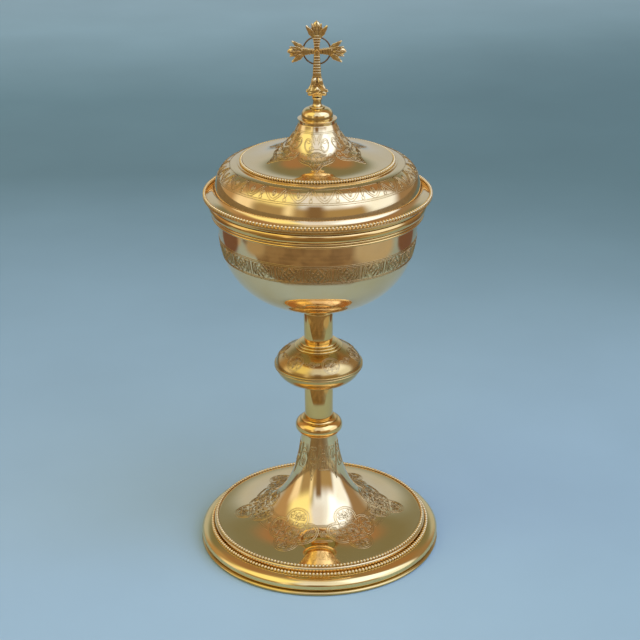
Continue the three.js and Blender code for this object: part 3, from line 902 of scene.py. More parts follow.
@dataclass
class Engraver:
    """Cuts strokes as thin double-lipped lines on a face."""

    face: Face
    vertices: list[np.ndarray] = field(default_factory=list)
    faces: list[tuple[int, ...]] = field(default_factory=list)
    count: int = 0

    ACROSS = (-1.0, -0.68, 0.0, 0.68, 1.0)
    LIFTS = (-0.1, 0.2, 0.03, 0.2, -0.1)

    def cut(
        self, strokes: Iterable[np.ndarray], azimuth: float, station: float, half_width: float = 0.24
    ) -> None:
        """Lays strokes on the face.

        Args:
            strokes: Lines in millimetres, sideways and along the path, about the motif's middle.
            azimuth: Angle of the motif's middle from the front, in degrees.
            station: Distance of the motif's middle along the path.
            half_width: Half the width of a line.
        """
        for stroke in strokes:
            if len(stroke) < 2:
                continue
            closed = abs(stroke[0] - stroke[-1]) < 1e-6
            points = stroke[:-1] if closed else stroke
            self.ribbon(points, closed, math.radians(azimuth), station, half_width)

    def ribbon(
        self, points: np.ndarray, closed: bool, azimuth: float, station: float, half_width: float
    ) -> None:
        """Lays one line on the face.

        Args:
            points: Points of the line.
            closed: Whether it closes on itself.
            azimuth: Angle of the motif's middle in radians.
            station: Distance of the motif's middle along the path.
            half_width: Half the width of the line.
        """
        if closed:
            ahead, back = np.roll(points, -1), np.roll(points, 1)
            widths = np.full(len(points), half_width)
        else:
            ahead = np.append(points[1:], 2 * points[-1] - points[-2])
            back = np.insert(points[:-1], 0, 2 * points[0] - points[1])
            share = np.linspace(0, 1, len(points))
            widths = half_width * np.clip(0.35 + 5 * np.minimum(share, 1 - share), 0.35, 1)
        along = ahead - back
        normal = 1j * along / np.maximum(np.abs(along), 1e-9)
        across = np.array(self.ACROSS)
        laid = points[:, None] + normal[:, None] * widths[:, None] * across
        level = station + laid.imag
        angle = azimuth + laid.real / np.maximum(self.face.radius(level), 1.0)
        lift = np.broadcast_to(np.array(self.LIFTS), level.shape)
        self.strip(self.face.lifted(angle, level, lift), closed)

    def strip(self, places: np.ndarray, closed: bool) -> None:
        """Adds a line whose section is a closed loop of points.

        Args:
            places: Its points, by row along the line and by column round its section.
            closed: Whether the last row joins the first.
        """
        rows, wide = places.shape[:2]
        index = (self.count + np.arange(rows * wide)).reshape(rows, wide).tolist()
        self.vertices.append(places.reshape(-1, 3))
        for row in range(rows if closed else rows - 1):
            here, ahead = index[row], index[(row + 1) % rows]
            for column in range(wide):
                after = (column + 1) % wide
                self.faces.append((here[column], ahead[column], ahead[after], here[after]))
        if not closed:
            self.faces += [tuple(index[0]), tuple(reversed(index[-1]))]
        self.count += rows * wide

    def border(self, points: Sequence[tuple[float, float]], azimuth: float, half_width: float) -> None:
        """Cuts a line through points given as degrees and stations.

        Args:
            points: Azimuths about the given one in degrees, with their stations.
            azimuth: Azimuth they are measured from, in degrees.
            half_width: Half the width of the line.
        """
        stations = np.array([station for _, station in points])
        angles = np.radians([angle for angle, _ in points])
        stroke = angles * self.face.radius(stations) + 1j * stations
        self.ribbon(stroke, False, math.radians(azimuth), 0.0, half_width)

    def ring(self, station: float, half_width: float = 0.24, steps: int = 240) -> None:
        """Cuts a line all round the piece."""
        azimuth = np.linspace(0, math.tau, steps, endpoint=False)[:, None]
        level = station + np.array(self.ACROSS) * half_width
        lift = np.array(self.LIFTS)
        shape = (steps, len(self.ACROSS))
        spread = [np.broadcast_to(v, shape) for v in (-azimuth, level, lift)]
        self.strip(self.face.lifted(*spread), True)

    def piece(self, name: str) -> Piece:
        """Makes the mesh of all lines cut so far.

        Args:
            name: Name of the piece.

        Returns:
            The piece.
        """
        mesh = bpy.data.meshes.new(name)
        mesh.from_pydata((np.concatenate(self.vertices) * MM).tolist(), [], self.faces)
        made = bpy.data.objects.new(name, mesh)
        bpy.context.collection.objects.link(made)
        deselect()
        made.select_set(True)
        bpy.context.view_layer.objects.active = made
        edit_all()
        bpy.ops.mesh.normals_make_consistent(inside=False)
        bpy.ops.object.mode_set(mode="OBJECT")
        bpy.ops.object.shade_smooth()
        return made


# Foot


@dataclass
class Foot:
    """The foot: flange, half-round rim, two milled wires, band, and the plate with its trumpet."""

    radius: float = 75.0
    flange_height: float = 2.6
    flange_width: float = 11.0
    rim_middle: float = 67.8
    rim_projection: float = 7.0
    rim_height: float = 7.9
    rim_share: float = 0.42
    ledge_outer: float = 68.92
    ledge_width: float = 6.6
    band_outer: float = 66.72
    band_lip: float = 2.5
    band_height: float = 4.1
    shelf_height: float = 3.0
    shelf_width: float = 2.2
    outer_beads: int = 197
    inner_beads: int = 192
    trumpet_top: float = 73.5
    trumpet_radius: float = 10.8
    wire_radius: float = 0.98
    wire_lift: float = 0.92
    fine_wire_radius: float = 0.92
    fine_wire_lift: float = 0.86
    medallions: int = 6
    medallion_azimuth: float = -27.0
    medallion_station: float = 27.0
    link_station: float = 27.8
    pendant_station: float = 71.5
    panel_station: float = 72.8

    def plate_path(self) -> Outline:
        """The upper face of the plate and trumpet, from the edge up."""
        edge = (self.band_outer - self.band_lip - 0.03, self.flange_height + self.rim_height + 4.5)
        lead, follow = (edge[0] - 34.8, edge[1]), (self.trumpet_radius + 3.3, 33.8)
        return curve(edge, lead, follow, (self.trumpet_radius, self.trumpet_top), 96)

    def build(self, shop: Workshop) -> None:
        """Builds and dresses the foot."""
        inner = self.radius - self.flange_width
        top = self.flange_height
        flange = [(inner, 0.0), (self.radius - 0.9, 0.0), (self.radius, 0.9)]
        flange += [(self.radius, top - 0.9), (self.radius - 0.9, top), (inner, top)]
        outline = softened(flange, 0.5)
        shop.turn("foot_flange_spun", outline, WORN, Body.BASE, Slot.POLISHED, "foot_base_ring")

        rim_top = top + self.rim_height
        level = top + self.rim_height * self.rim_share
        rise = rim_top - level
        start = -math.degrees(math.asin((level - top) / rise))
        path = arc((self.rim_middle, level), (self.rim_projection, rise), start, 75, 44)
        path += [(self.ledge_outer, rim_top), (self.ledge_outer - self.ledge_width, rim_top)]
        outline = softened(sheet(path), 0.3, 40)
        shop.turn("foot_rim_spun", outline, POLISHED, Body.BASE, Slot.POLISHED, "foot_rim")

        wire_ring = self.ledge_outer - 0.95
        level = rim_top + self.wire_lift
        piece = milled_wire("foot_outer_milled_wire", wire_ring, level, self.wire_radius, self.outer_beads)
        shop.fit(piece, MILLED, Body.BASE, Slot.WIRE, "foot_bead_outer")

        outer, lip = self.band_outer, self.band_outer - self.band_lip
        band_top, shelf = rim_top + self.band_height, rim_top + self.shelf_height
        band = [(lip - self.shelf_width, rim_top), (outer, rim_top), (outer - 0.25, rim_top + 1.6)]
        band += [(outer, band_top - 0.6), (outer - 0.5, band_top), (lip, band_top)]
        band += [(lip, shelf), (lip - self.shelf_width, shelf)]
        shop.turn("foot_band_spun", softened(band, 0.5, 10), GOLDEN, Body.BASE, Slot.POLISHED, "foot_band")

        wire_ring = outer - self.band_lip / 2 - FIT
        level, radius = band_top + self.fine_wire_lift, self.fine_wire_radius
        piece = milled_wire("foot_inner_milled_wire", wire_ring, level, radius, self.inner_beads)
        shop.fit(piece, MILLED, Body.BASE, Slot.WIRE, "foot_bead_inner")

        path = self.plate_path()
        outline = softened(sheet(path), 0.12, 40)
        shop.turn("foot_plate_spun", outline, GOLDEN, Body.BASE, Slot.ENGRAVED, "foot_plate")
        self.engrave(shop, Face(path))

    def quatrefoil(self, radius: float) -> np.ndarray:
        """Outline of four round lobes, closed.

        Args:
            radius: Radius of a lobe.

        Returns:
            Its points.
        """
        spread = 8.7
        corner = (spread + math.sqrt(2 * radius**2 - spread**2)) / 2
        limit = math.degrees(math.atan2(corner, corner - spread))
        lobe = sweep(spread, radius, -limit, limit)[:-1]
        points = np.concatenate([lobe * 1j**quarter for quarter in range(4)])
        return np.append(points, points[0])

    def medallion(self) -> Strokes:
        """The foliage inside a quatrefoil."""
        strokes: Strokes = [sweep(0, 4.9, 0, 360)]
        for turn in range(0, 360, 45):
            strokes += turned(leaf(0.7j, 4.6j if turn % 90 else 3.8j, 0.28), turn)
        half = [curl(0.4 + 8.2j, 20, 1.9, 250), curl(0.6 + 4.6j, 10, 1.7, 240)]
        half.append(curl(2.8 + 10.2j, 60, 1.3, -280))
        half += [*leaf(1.0 + 5.2j, 5.4 + 7.0j, 0.26), *leaf(1.0 + 9.4j, 5.2 + 11.2j, 0.26)]
        half += leaf(1.4 + 11.4j, 3.9 + 13.4j, 0.3)
        sprig = [line(4.9j, 9.4j), *leaf(10.0j, 14.2j, 0.3), sweep(9.6j, 0.5, 0, 360, 0.3), *mirrored(half)]
        for quarter in range(4):
            strokes += turned(sprig, 90 * quarter)
        return strokes

    def link(self) -> Strokes:
        """The small panel between two medallions."""
        strokes = [line(-6.0 + y * 1j, 6.0 + y * 1j) for y in (-5.9, -4.8, 5.0, 5.9)]
        strokes += rosette(2.5, 6)
        strokes += mirrored([*leaf(2.8 + 0j, 6.2 + 0j, 0.28), curl(1.6 + 2.4j, 60, 1.2, -250)])
        return strokes

    def pendant(self) -> Strokes:
        """A pointed lobe that hangs on the trumpet."""
        half = [bow(4.6 + 13j, 4.9 + 4j, 2.2 + 1j, -10j, 18)]
        half.append(bow(3.7 + 13j, 3.9 + 4.4j, 1.5 + 1.6j, -7.6j, 18))
        half += [curl(0.7 + 9.2j, 10, 1.5, 280), curl(0.5 + 3.6j, -20, 1.2, 270)]
        return mirrored(half) + leaf(-4.6j, 1.6j, 0.24) + leaf(3.0j, 10.2j, 0.2)

    def panel(self) -> Strokes:
        """A small arched panel between two pendants."""
        half = [line(3.2 - 4.4j, 3.0 + 3.2j), bow(3.0 + 3.2j, 2.8 + 6.2j, 1.2 + 7.4j, 9.0j, 10)]
        half += [curl(0.5 + 4.2j, 20, 1.2, 270), curl(0.6 - 0.6j, 20, 1.1, 250)]
        return mirrored(half) + [line(-3.6 - 4.4j, 3.6 - 4.4j)] + leaf(-3.4j, 3.6j, 0.22)

    def engrave(self, shop: Workshop, face: Face) -> None:
        """Cuts the medallions, their links and the arches of the trumpet."""
        engraver = Engraver(face)
        for i in range(self.medallions):
            azimuth = self.medallion_azimuth + 360 * i / self.medallions
            outlines = [self.quatrefoil(7.7), self.quatrefoil(6.5)]
            engraver.cut(outlines, azimuth, self.medallion_station, 0.4)
            engraver.cut(self.medallion(), azimuth, self.medallion_station, 0.2)
            engraver.cut(self.link(), azimuth + 180 / self.medallions, self.link_station, 0.27)
            engraver.cut(self.pendant(), azimuth + 9, self.pendant_station, 0.24)
            engraver.cut(self.panel(), azimuth + 39, self.panel_station, 0.22)
        piece = engraver.piece("foot_engraving")
        shop.fit(piece, CUT_LINE, Body.BASE, Slot.ENGRAVED)


# Stem


@dataclass
class Stem:
    """The stem: collar, tubes, knop, cup collar, and the rod that ties it all."""

    foot_top: float = 73.5
    rod_radius: float = 3.0
    collar_height: float = 8.7
    collar_bulge: float = 5.25
    collar_middle: float = 9.3
    ring_radius: float = 11.2
    ring_height: float = 1.7
    tube_radius: float = 8.75
    tube_wall: float = 0.8
    lower_tube: float = 22.4
    upper_tube: float = 18.9
    knop_radius: float = 26.2
    knop_lower: float = 14.1
    knop_upper: float = 13.9
    knop_seat: float = 9.4
    knop_mouth: float = 10.0
    cap_radius: float = 14.5
    cap_step: float = 1.5
    cap_height: float = 2.3
    cup_collar_radius: float = 9.7
    cup_collar_height: float = 1.6
    roundels: int = 6
    roundel_azimuth: float = 19.5
    roundel_station: float = 8.9
    small_ring_station: float = 9.6
    washer_level: float = 51.0
    washer_height: float = 2.0
    nut_flats: float = 10.0
    nut_height: float = 5.0
    rod_tail: float = 11.0

    def across(self, radius: float) -> float:
        """Share of the knop's half height at a radius."""
        return math.sqrt(1 - (radius / self.knop_radius) ** 2)

    @property
    def bore(self) -> float:
        """Radius of the bores round the rod."""
        return self.rod_radius + FIT

    def build(self, shop: Workshop) -> float:
        """Builds and dresses the stem.

        Args:
            shop: The workshop.

        Returns:
            The height of the cup's saucer.
        """
        level = self.foot_top
        top = level + self.collar_height
        rise = self.collar_height / 2 / math.sin(math.radians(63))
        bulge = arc((self.collar_middle, (level + top) / 2), (self.collar_bulge, rise), -63, 63, 36)
        outline = softened([(self.bore, level), *bulge, (self.bore, top)], 0.3)
        shop.turn("foot_collar_spun", outline, DEEP, Body.BASE, Slot.POLISHED, "foot_collar", MEDIUM_STEPS)

        level, top = top, top + self.ring_height
        ring = [(self.bore, level), (self.ring_radius, level), (self.ring_radius, level + 0.6)]
        ring += [(self.ring_radius - 0.85, top - 0.42), (self.ring_radius - 1.7, top), (self.bore, top)]
        outline = softened(ring, 0.35, 15)
        shop.turn(
            "foot_collar_ring_spun", outline, DEEP, Body.BASE, Slot.POLISHED, "foot_collar_ring", MEDIUM_STEPS
        )

        level, top = top, top + self.lower_tube
        tube = ring_outline(self.tube_radius - self.tube_wall, self.tube_radius, level, top, 0.15)
        shop.turn("lower_tube_spun", tube, DEEP, Body.BASE, Slot.POLISHED, "stem_tube_lower", MEDIUM_STEPS)

        level = self.knop(shop, top)
        inner = self.tube_radius - self.tube_wall
        tube = ring_outline(inner, self.tube_radius, level, level + self.upper_tube, 0.15)
        shop.turn("upper_tube_spun", tube, DEEP, Body.BASE, Slot.POLISHED, "stem_tube_upper", MEDIUM_STEPS)

        level += self.upper_tube
        half = self.cup_collar_height / 2
        bead = arc((self.cup_collar_radius - half, level + half), (half, half), -90, 90, 14)
        collar = [(self.bore, level), *bead, (self.bore, level + self.cup_collar_height)]
        shop.turn("cup_collar_spun", collar, DEEP, Body.BASE, Slot.POLISHED, "cup_collar", MEDIUM_STEPS)
        return level + self.cup_collar_height

    def knop(self, shop: Workshop, seat: float) -> float:
        """Builds and dresses the knop.

        Args:
            shop: The workshop.
            seat: Height of the knop's underside.

        Returns:
            The height of its cap's top.
        """
        middle = seat + self.knop_lower * self.across(self.knop_seat)
        seat_angle = math.degrees(math.acos(self.knop_seat / self.knop_radius))
        path = [(self.bore, seat), *arc((0, middle), (self.knop_radius, self.knop_lower), -seat_angle, 0, 40)]
        outline = softened(sheet(path), 0.3, 40)
        shop.turn(
            "knop_lower_spun", outline, WORN, Body.BASE, Slot.POLISHED, "knop_lower_shell", MEDIUM_STEPS
        )

        mouth_angle = math.degrees(math.acos(self.knop_mouth / self.knop_radius))
        path = arc((0, middle), (self.knop_radius, self.knop_upper), 0, mouth_angle, 44)
        outline = softened(sheet(path), 0.3, 40)
        shop.turn(
            "knop_upper_spun", outline, WORN, Body.BASE, Slot.ENGRAVED, "knop_upper_shell", MEDIUM_STEPS
        )
        self.engrave(shop, Face(path))

        inner = self.knop_radius - 0.5
        girdle = [(inner, middle - 1.2)]
        girdle += arc((self.knop_radius + 0.35, middle - 0.7), (0.45, 0.5), -90, 60, 8)
        girdle += arc((self.knop_radius + 0.35, middle + 0.7), (0.45, 0.5), -60, 90, 8)
        girdle.append((inner, middle + 1.2))
        shop.turn("knop_girdle_spun", girdle, WORN, Body.BASE, Slot.POLISHED, "knop_girdle", MEDIUM_STEPS)

        cap_seat = middle + self.knop_upper * self.across(self.knop_mouth) + FIT
        cap_top = cap_seat + self.cap_height
        edge = middle + self.knop_upper * self.across(self.cap_radius) + 0.05
        step = (cap_top - edge) / 3
        cap = [(self.bore, cap_seat), (self.knop_mouth, cap_seat), (self.cap_radius - 0.1, edge)]
        for i in range(3):
            radius = self.cap_radius - self.cap_step * i
            cap += arc((radius - 0.35, edge + step * i + step * 0.42), (0.35, step * 0.42), -80, 90, 8)
            cap.append((radius - self.cap_step * 0.75, edge + step * (i + 0.9)))
        cap += [(self.cap_radius - self.cap_step * 3, cap_top), (self.bore, cap_top)]
        shop.turn("knop_cap_spun", cap, POLISHED, Body.BASE, Slot.POLISHED, "knop_cap", MEDIUM_STEPS)
        return cap_top

    def engrave(self, shop: Workshop, face: Face) -> None:
        """Cuts the roundels of the knop and the small rings between them."""
        engraver = Engraver(face)
        roundel: Strokes = [sweep(0, 5.4, 0, 360), sweep(0, 4.6, 0, 360), sweep(0, 0.7, 0, 360, 0.3)]
        for turn in range(0, 360, 45):
            roundel += turned(leaf(0.8j, 4.2j if turn % 90 else 3.9j, 0.3 if turn % 90 else 0.24), turn)
        small = [sweep(0, 1.8, 0, 360, 0.5), sweep(0, 0.9, 0, 360, 0.4)]
        small += mirrored(leaf(2.2 + 0j, 4.6 + 0.6j, 0.25, vein=False))
        for i in range(self.roundels):
            azimuth = self.roundel_azimuth + 360 * i / self.roundels
            engraver.cut(roundel, azimuth, self.roundel_station, 0.27)
            engraver.cut(small, azimuth + 180 / self.roundels, self.small_ring_station, 0.26)
        piece = engraver.piece("knop_engraving")
        shop.fit(piece, CUT_LINE, Body.BASE, Slot.ENGRAVED)

    def tie(self, shop: Workshop, rod_top: float) -> None:
        """Builds the tie rod with its washer and nut.

        Args:
            shop: The workshop.
            rod_top: Height of the rod's upper end.
        """
        seat, washer_top = self.washer_level, self.washer_level + self.washer_height
        washer_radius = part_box("tie_washer")[1][0] / MM
        washer = ring_outline(self.bore, washer_radius, seat, washer_top, 0.3)
        shop.turn("tie_washer_turned", washer, BRASS, Body.BASE, Slot.PLAIN, "tie_washer", MEDIUM_STEPS)
        piece = hex_nut("tie_nut_turned", self.nut_flats, self.bore, seat - self.nut_height, self.nut_height)
        shop.fit(piece, BRASS, Body.BASE, Slot.PLAIN, "tie_nut")
        piece = threaded_rod("tie_rod_threaded", self.rod_radius, seat - self.rod_tail, rod_top, washer_top)
        shop.fit(piece, BRASS, Body.BASE, Slot.PLAIN, "tie_rod")
        shop.dress_node("cup_stud_plate", BRASS)


# Cup


@dataclass
class Cup:
    """The bowl in its saucer, with the mouldings round its rim."""

    saucer_level: float
    saucer_radius: float = 13.0
    saucer_flat: float = 9.2
    seat_depth: float = 4.0
    radius: float = 58.55
    depth: float = 53.9
    fullness: float = 2.4
    neck: float = 14.4
    rod_bore: float = 3.3
    band_units: int = 22
    band_station: float = 76.9
    band_lines: tuple[float, ...] = (71.2, 72.1, 81.7, 82.6)

    @property
    def foot(self) -> float:
        """Height of the bowl's underside."""
        return self.saucer_level + self.seat_depth

    @property
    def middle(self) -> float:
        """Height where the bowl turns upright."""
        return self.foot + self.depth

    @property
    def rim(self) -> float:
        """Height of the bowl's rim."""
        return self.middle + self.neck

    def path(self) -> Outline:
        """The outer face of the bowl, from its underside up."""
        power = 2 / self.fullness
        points: Outline = [(0.0, self.foot)]
        for angle in np.radians(np.linspace(90, 0, 73))[1:]:
            r = self.radius * math.cos(angle) ** power
            points.append((r, self.middle - self.depth * math.sin(angle) ** power))
        points += [(self.radius, self.middle + self.neck * k / 6) for k in range(1, 7)]
        return points

    def build(self, shop: Workshop) -> None:
        """Builds and dresses the cup."""
        path = self.path()
        shop.turn("bowl_spun", softened(sheet(path), 0.3, 40), ENGRAVED, Body.BASE, Slot.ENGRAVED, "bowl")
        self.engrave(shop, Face(path))

        inner = self.saucer_radius - SHEET
        share = 1 - (inner / self.radius) ** self.fullness
        top = self.middle - self.depth * share ** (1 / self.fullness) - FIT
        level = self.saucer_level
        turn = ((self.saucer_flat + self.saucer_radius) / 2, level)
        follow, end = (self.saucer_radius, level + 2.4), (self.saucer_radius, top + 0.2)
        side = curve((self.saucer_flat, level), turn, follow, end, 30)
        outline = softened(sheet([(self.rod_bore, level), *side]), 0.3, 40)
        shop.turn("cup_saucer_spun", outline, POLISHED, Body.BASE, Slot.POLISHED, "cup_saucer", MEDIUM_STEPS)

        self.mouldings(shop)

    def mouldings(self, shop: Workshop) -> None:
        """Builds the band, the ovolo and the fillet under the rim."""
        inner = self.radius + 0.02
        foot = self.rim - 3.1
        flat = self.radius + FIT + 4.6 - 0.9
        band = [(inner, foot), *arc((flat, self.rim - 1.55), (0.9, 1.55), -90, 90, 20), (inner, self.rim)]
        shop.turn("bowl_rim_band_spun", band, DEEP, Body.BASE, Slot.POLISHED, "bowl_rim_band")

        height, share = 5.0, 0.58
        low = foot - height
        rise = height * share
        end = math.degrees(math.asin(1 / share - 1))
        start = self.radius + FIT + 2.6
        ovolo = [(inner, low), *arc((start, low + rise), (2.3, rise), -90, end, 30), (inner, foot)]
        shop.turn("bowl_rim_ovolo_spun", ovolo, DEEP, Body.BASE, Slot.POLISHED, "bowl_rim_moulding")

        middle = self.radius + FIT + 2.7
        fillet = [(inner, low - 3.2)]
        for level in (low - 2.4, low - 0.8):
            fillet += arc((middle, level), (0.8, 0.8), -90, 90, 14)[level > low - 1:]
        outline = [*fillet, (inner, low)]
        shop.turn("bowl_rim_fillet_spun", outline, DEEP, Body.BASE, Slot.POLISHED, "bowl_rim_fillet")

    def unit(self) -> Strokes:
        """One repeat of the band round the bowl: a leaf lozenge and a pair of upright leaves."""
        strokes = [line(-r + 0j, 1.25j * r, r + 0j, -1.25j * r, -r + 0j) for r in (3.5, 2.7)]
        strokes += turned(rosette(2.0, 4), 45) + [sweep(0, 0.8, 0, 360, 0.4)]
        pair = leaf(5.2 - 3.6j, 6.4 + 4.2j, 0.16)
        pair += [line(7.3 - 4.2j, 7.3 + 4.2j), line(2.6 + 4.2j, 3.9 + 1.9j)]
        pair += [line(2.6 - 4.2j, 3.9 - 1.9j), line(3.4 + 4.2j, 4.5 + 2.3j), line(3.4 - 4.2j, 4.5 - 2.3j)]
        pair += [curl(4.2 + 0.4j, 80, 1.3, 250), curl(4.2 - 0.4j, -80, 1.3, -250)]
        pair.append(sweep(4.4 + 3.4j, 0.4, 0, 360, 0.3))
        return strokes + mirrored(pair)

    def engrave(self, shop: Workshop, face: Face) -> None:
        """Cuts the ornament band round the bowl."""
        engraver = Engraver(face)
        for station in self.band_lines:
            engraver.ring(station)
        for i in range(self.band_units):
            engraver.cut(self.unit(), 360 * i / self.band_units, self.band_station, 0.3)
        piece = engraver.piece("bowl_engraving")
        shop.fit(piece, CUT_LINE, Body.BASE, Slot.ENGRAVED)


# Lid


@dataclass
class Lid:
    """The lid: bezel, brim, dome, disc with its bell, and two milled wires."""

    rim: float
    bowl_radius: float = 58.55
    overhang: float = 8.45
    edge: float = 1.3
    rise: float = 4.5
    seat: float = 2.1
    bezel_depth: float = 9.3
    dome_overhang: float = 1.75
    dome_height: float = 15.6
    disc_radius: float = 46.9
    disc_lip: float = 4.6
    brim_beads: int = 191
    disc_beads: int = 168
    cone_height: float = 21.3
    cone_top_radius: float = 11.0
    chevrons: int = 24
    lobes: int = 6
    lobe_azimuth: float = -1.5
    lobe_station: float = 23.4
    chevron_station: float = 14.3
    dome_lines: tuple[float, ...] = (8.8, 9.8, 18.9)
    bell_lines: tuple[float, ...] = (38.6, 37.8)
    wire_radius: float = 0.98
    wire_lift: float = 0.92
    fine_wire_radius: float = 0.92
    fine_wire_lift: float = 0.85

    def build(self, shop: Workshop) -> float:
        """Builds and dresses the lid.

        Args:
            shop: The workshop.

        Returns:
            The height of the bell's top.
        """
        outer = self.bowl_radius - SHEET - 0.4
        bezel = ring_outline(outer - SHEET, outer, self.rim - self.bezel_depth, self.rim, 0.3)
        shop.turn("lid_bezel_spun", bezel, POLISHED, Body.BEZEL, Slot.POLISHED, "lid_bezel")

        brim_radius = self.bowl_radius + self.overhang
        edge_top, dome_foot = self.rim + self.edge, self.rim + self.rise
        dome_radius = self.bowl_radius + self.dome_overhang
        brim = [(outer - SHEET, self.rim), (brim_radius - 0.43, self.rim), (brim_radius, self.rim + 0.43)]
        brim += [(brim_radius, edge_top)]
        brim += curve(
            (brim_radius - self.seat, edge_top),
            (brim_radius - self.seat * 1.6, edge_top),
            (dome_radius + 0.5, edge_top + 1.4),
            (dome_radius + 0.02, dome_foot),
            24,
        )
        brim += [(dome_radius - SHEET, dome_foot), (outer - SHEET, edge_top)]
        shop.turn("lid_brim_spun", softened(brim, 0.12, 30), GOLDEN, Body.LID, Slot.POLISHED, "lid_brim")
        wire_ring, level = brim_radius - 0.95, edge_top + self.wire_lift
        piece = milled_wire("lid_brim_milled_wire", wire_ring, level, self.wire_radius, self.brim_beads)
        shop.fit(piece, MILLED, Body.LID, Slot.WIRE, "lid_brim_bead")

        dome_top = dome_foot + self.dome_height
        path = curve(
            (dome_radius, dome_foot - 0.12),
            (dome_radius - 1.4, dome_foot + 14.3),
            (self.disc_radius + 3.4, dome_top - 0.2),
            (self.disc_radius, dome_top),
            64,
        )
        face = Face(path)
        path = [*path, (self.disc_radius - self.disc_lip, dome_top)]
        outline = softened(sheet(path), 0.12, 40)
        shop.turn("lid_dome_spun", outline, GOLDEN, Body.LID, Slot.ENGRAVED, "lid_dome")
        self.engrave_dome(shop, face)
        return self.disc(shop, dome_top)

    def disc(self, shop: Workshop, dome_top: float) -> float:
        """Builds and dresses the disc and its bell.

        Args:
            shop: The workshop.
            dome_top: Height of the dome's top edge.

        Returns:
            The height of the bell's top.
        """
        disc_top = dome_top + 0.7
        ring = ring_outline(self.disc_radius - self.disc_lip, self.disc_radius - 0.6, dome_top, disc_top, 0.2)
        shop.turn("lid_disc_ring_spun", ring, GOLDEN, Body.LID, Slot.POLISHED, "lid_disc_ring")
        wire_ring = self.disc_radius - 2.55
        level = disc_top + self.fine_wire_lift
        piece = milled_wire("lid_disc_milled_wire", wire_ring, level, self.fine_wire_radius, self.disc_beads)
        shop.fit(piece, MILLED, Body.LID, Slot.WIRE, "lid_disc_bead")

        edge = (wire_ring - 0.82, disc_top + FIT + SHEET)
        top = edge[1] + self.cone_height
        follow = (self.cone_top_radius + 3, top - 10.5)
        path = curve(edge, (edge[0] - 19, edge[1]), follow, (self.cone_top_radius, top), 84)
        outline = softened(sheet(path), 0.12, 40)
        shop.turn("lid_bell_spun", outline, GOLDEN, Body.LID, Slot.ENGRAVED, "lid_cone")
        self.engrave_bell(shop, Face(path))
        return top

    def engrave_dome(self, shop: Workshop, face: Face) -> None:
        """Cuts the chevron band of the dome."""
        engraver = Engraver(face)
        for station in self.dome_lines:
            engraver.ring(station, 0.3)
        half = math.pi * float(face.radius(np.array(self.chevron_station))) / self.chevrons
        chevron = [bow(-half + 4.4j, -half * 0.8 + 0j, -2.3 - 4.1j, -4.4j, 12)]
        chevron += [bow(-half + 1.4 + 4.4j, -half * 0.62 + 0.8j, -1.8 - 3.0j, -3.1j, 12)]
        strokes = mirrored(chevron) + leaf(-1.8j, 2.6j, 0.24)
        strokes += turned([sweep(0, 0.9, 0, 360, 0.4)], 0, half - 3.2j)
        strokes += turned(leaf(-1.9j, 1.6j, 0.2, vein=False), 0, half - 0.2j)
        for i in range(self.chevrons):
            engraver.cut(strokes, 360 * i / self.chevrons + 4, self.chevron_station, 0.32)
        piece = engraver.piece("dome_engraving")
        shop.fit(piece, CUT_LINE, Body.LID, Slot.ENGRAVED)

    def lobe(self) -> Strokes:
        """The foliage in one of the pointed lobes of the bell, about its own middle."""
        oval = sweep(0, 1.0, 0, 360, 0.16)
        half = [(oval.real * 2.4 + 1j * oval.imag * 4.2) * size + 4.7 + 7.4j for size in (1.0, 0.8)]
        half += [curl(4.2 + 4.8j, 70, 1.7, 420), curl(5.6 + 9.6j, -100, 1.1, -300)]
        half += [line(2.2 + 14.2j, 1.0 + 8.0j), line(3.1 + 14.2j, 1.7 + 9.0j)]
        half.append(bow(1.4 + 14.0j, 1.0 + 12j, 0.5 + 12j, 0.4 + 10.4j))
        half += [curl(1.2 - 5.0j, -10, 1.5, 330), curl(4.2 - 2.2j, 30, 1.8, 360)]
        half.append(curl(7.4 + 0.0j, 140, 1.3, -330))
        half += [curl(2.2 + 1.2j, 60, 1.2, 300), *leaf(3.0 - 5.6j, 6.4 - 3.4j, 0.26)]
        half += leaf(6.4 - 3.6j, 8.8 - 1.2j, 0.28)
        half += [*leaf(2.2 + 0.2j, 5.6 + 1.8j, 0.24), *leaf(1.0 - 9.0j, 3.0 - 6.4j, 0.3, vein=False)]
        rays = [cmath.exp(1j * angle) for angle in np.radians(range(30, 151, 20))]
        fan = [line(0.5 * ray - 0.8j, 3.4 * ray - 0.8j) for ray in rays]
        fan += [sweep(-0.8j, 3.7, 22, 158, 0.4), sweep(-0.8j, 4.2, 22, 158, 0.4)]
        fan.append(line(-1.7 + 5.2j, 1.7 + 5.2j))
        tip = turned(leaf(0.4j, 4.8j, 0.22), 0, -10.6j) + turned(leaf(0.4j, 4.2j, 0.24), 36, -10.6j)
        tip += turned(leaf(0.4j, 4.2j, 0.24), -36, -10.6j) + leaf(-6.0j, -1.4j, 0.26)
        return mirrored(half) + fan + tip

    def lobe_edge(self, inset: float) -> list[tuple[float, float]]:
        """Edge of one lobe, from its left cusp over its tip to its right cusp.

        Args:
            inset: How far the line runs inside the edge.

        Returns:
            Azimuths about the lobe's middle in degrees, with stations.
        """
        pitch = 180 / self.lobes
        shape = [(1.0, 24.4), (0.9, 21.4), (0.72, 19.4), (0.5, 18.3)]
        shape += [(0.3, 17.2), (0.16, 15.2), (0.07, 13.0), (0.0, 11.0)]
        shares = np.array([share for share, _ in shape[::-1]])
        stations = np.array([station for _, station in shape[::-1]])
        fine = np.linspace(0, 1, 25)
        level = np.interp(fine, shares, stations) + inset * (1.0 + 0.9 * (1 - fine) ** 4)
        right = [(pitch * share, station) for share, station in zip(fine, level)]
        return [(-angle, station) for angle, station in reversed(right[1:])] + right

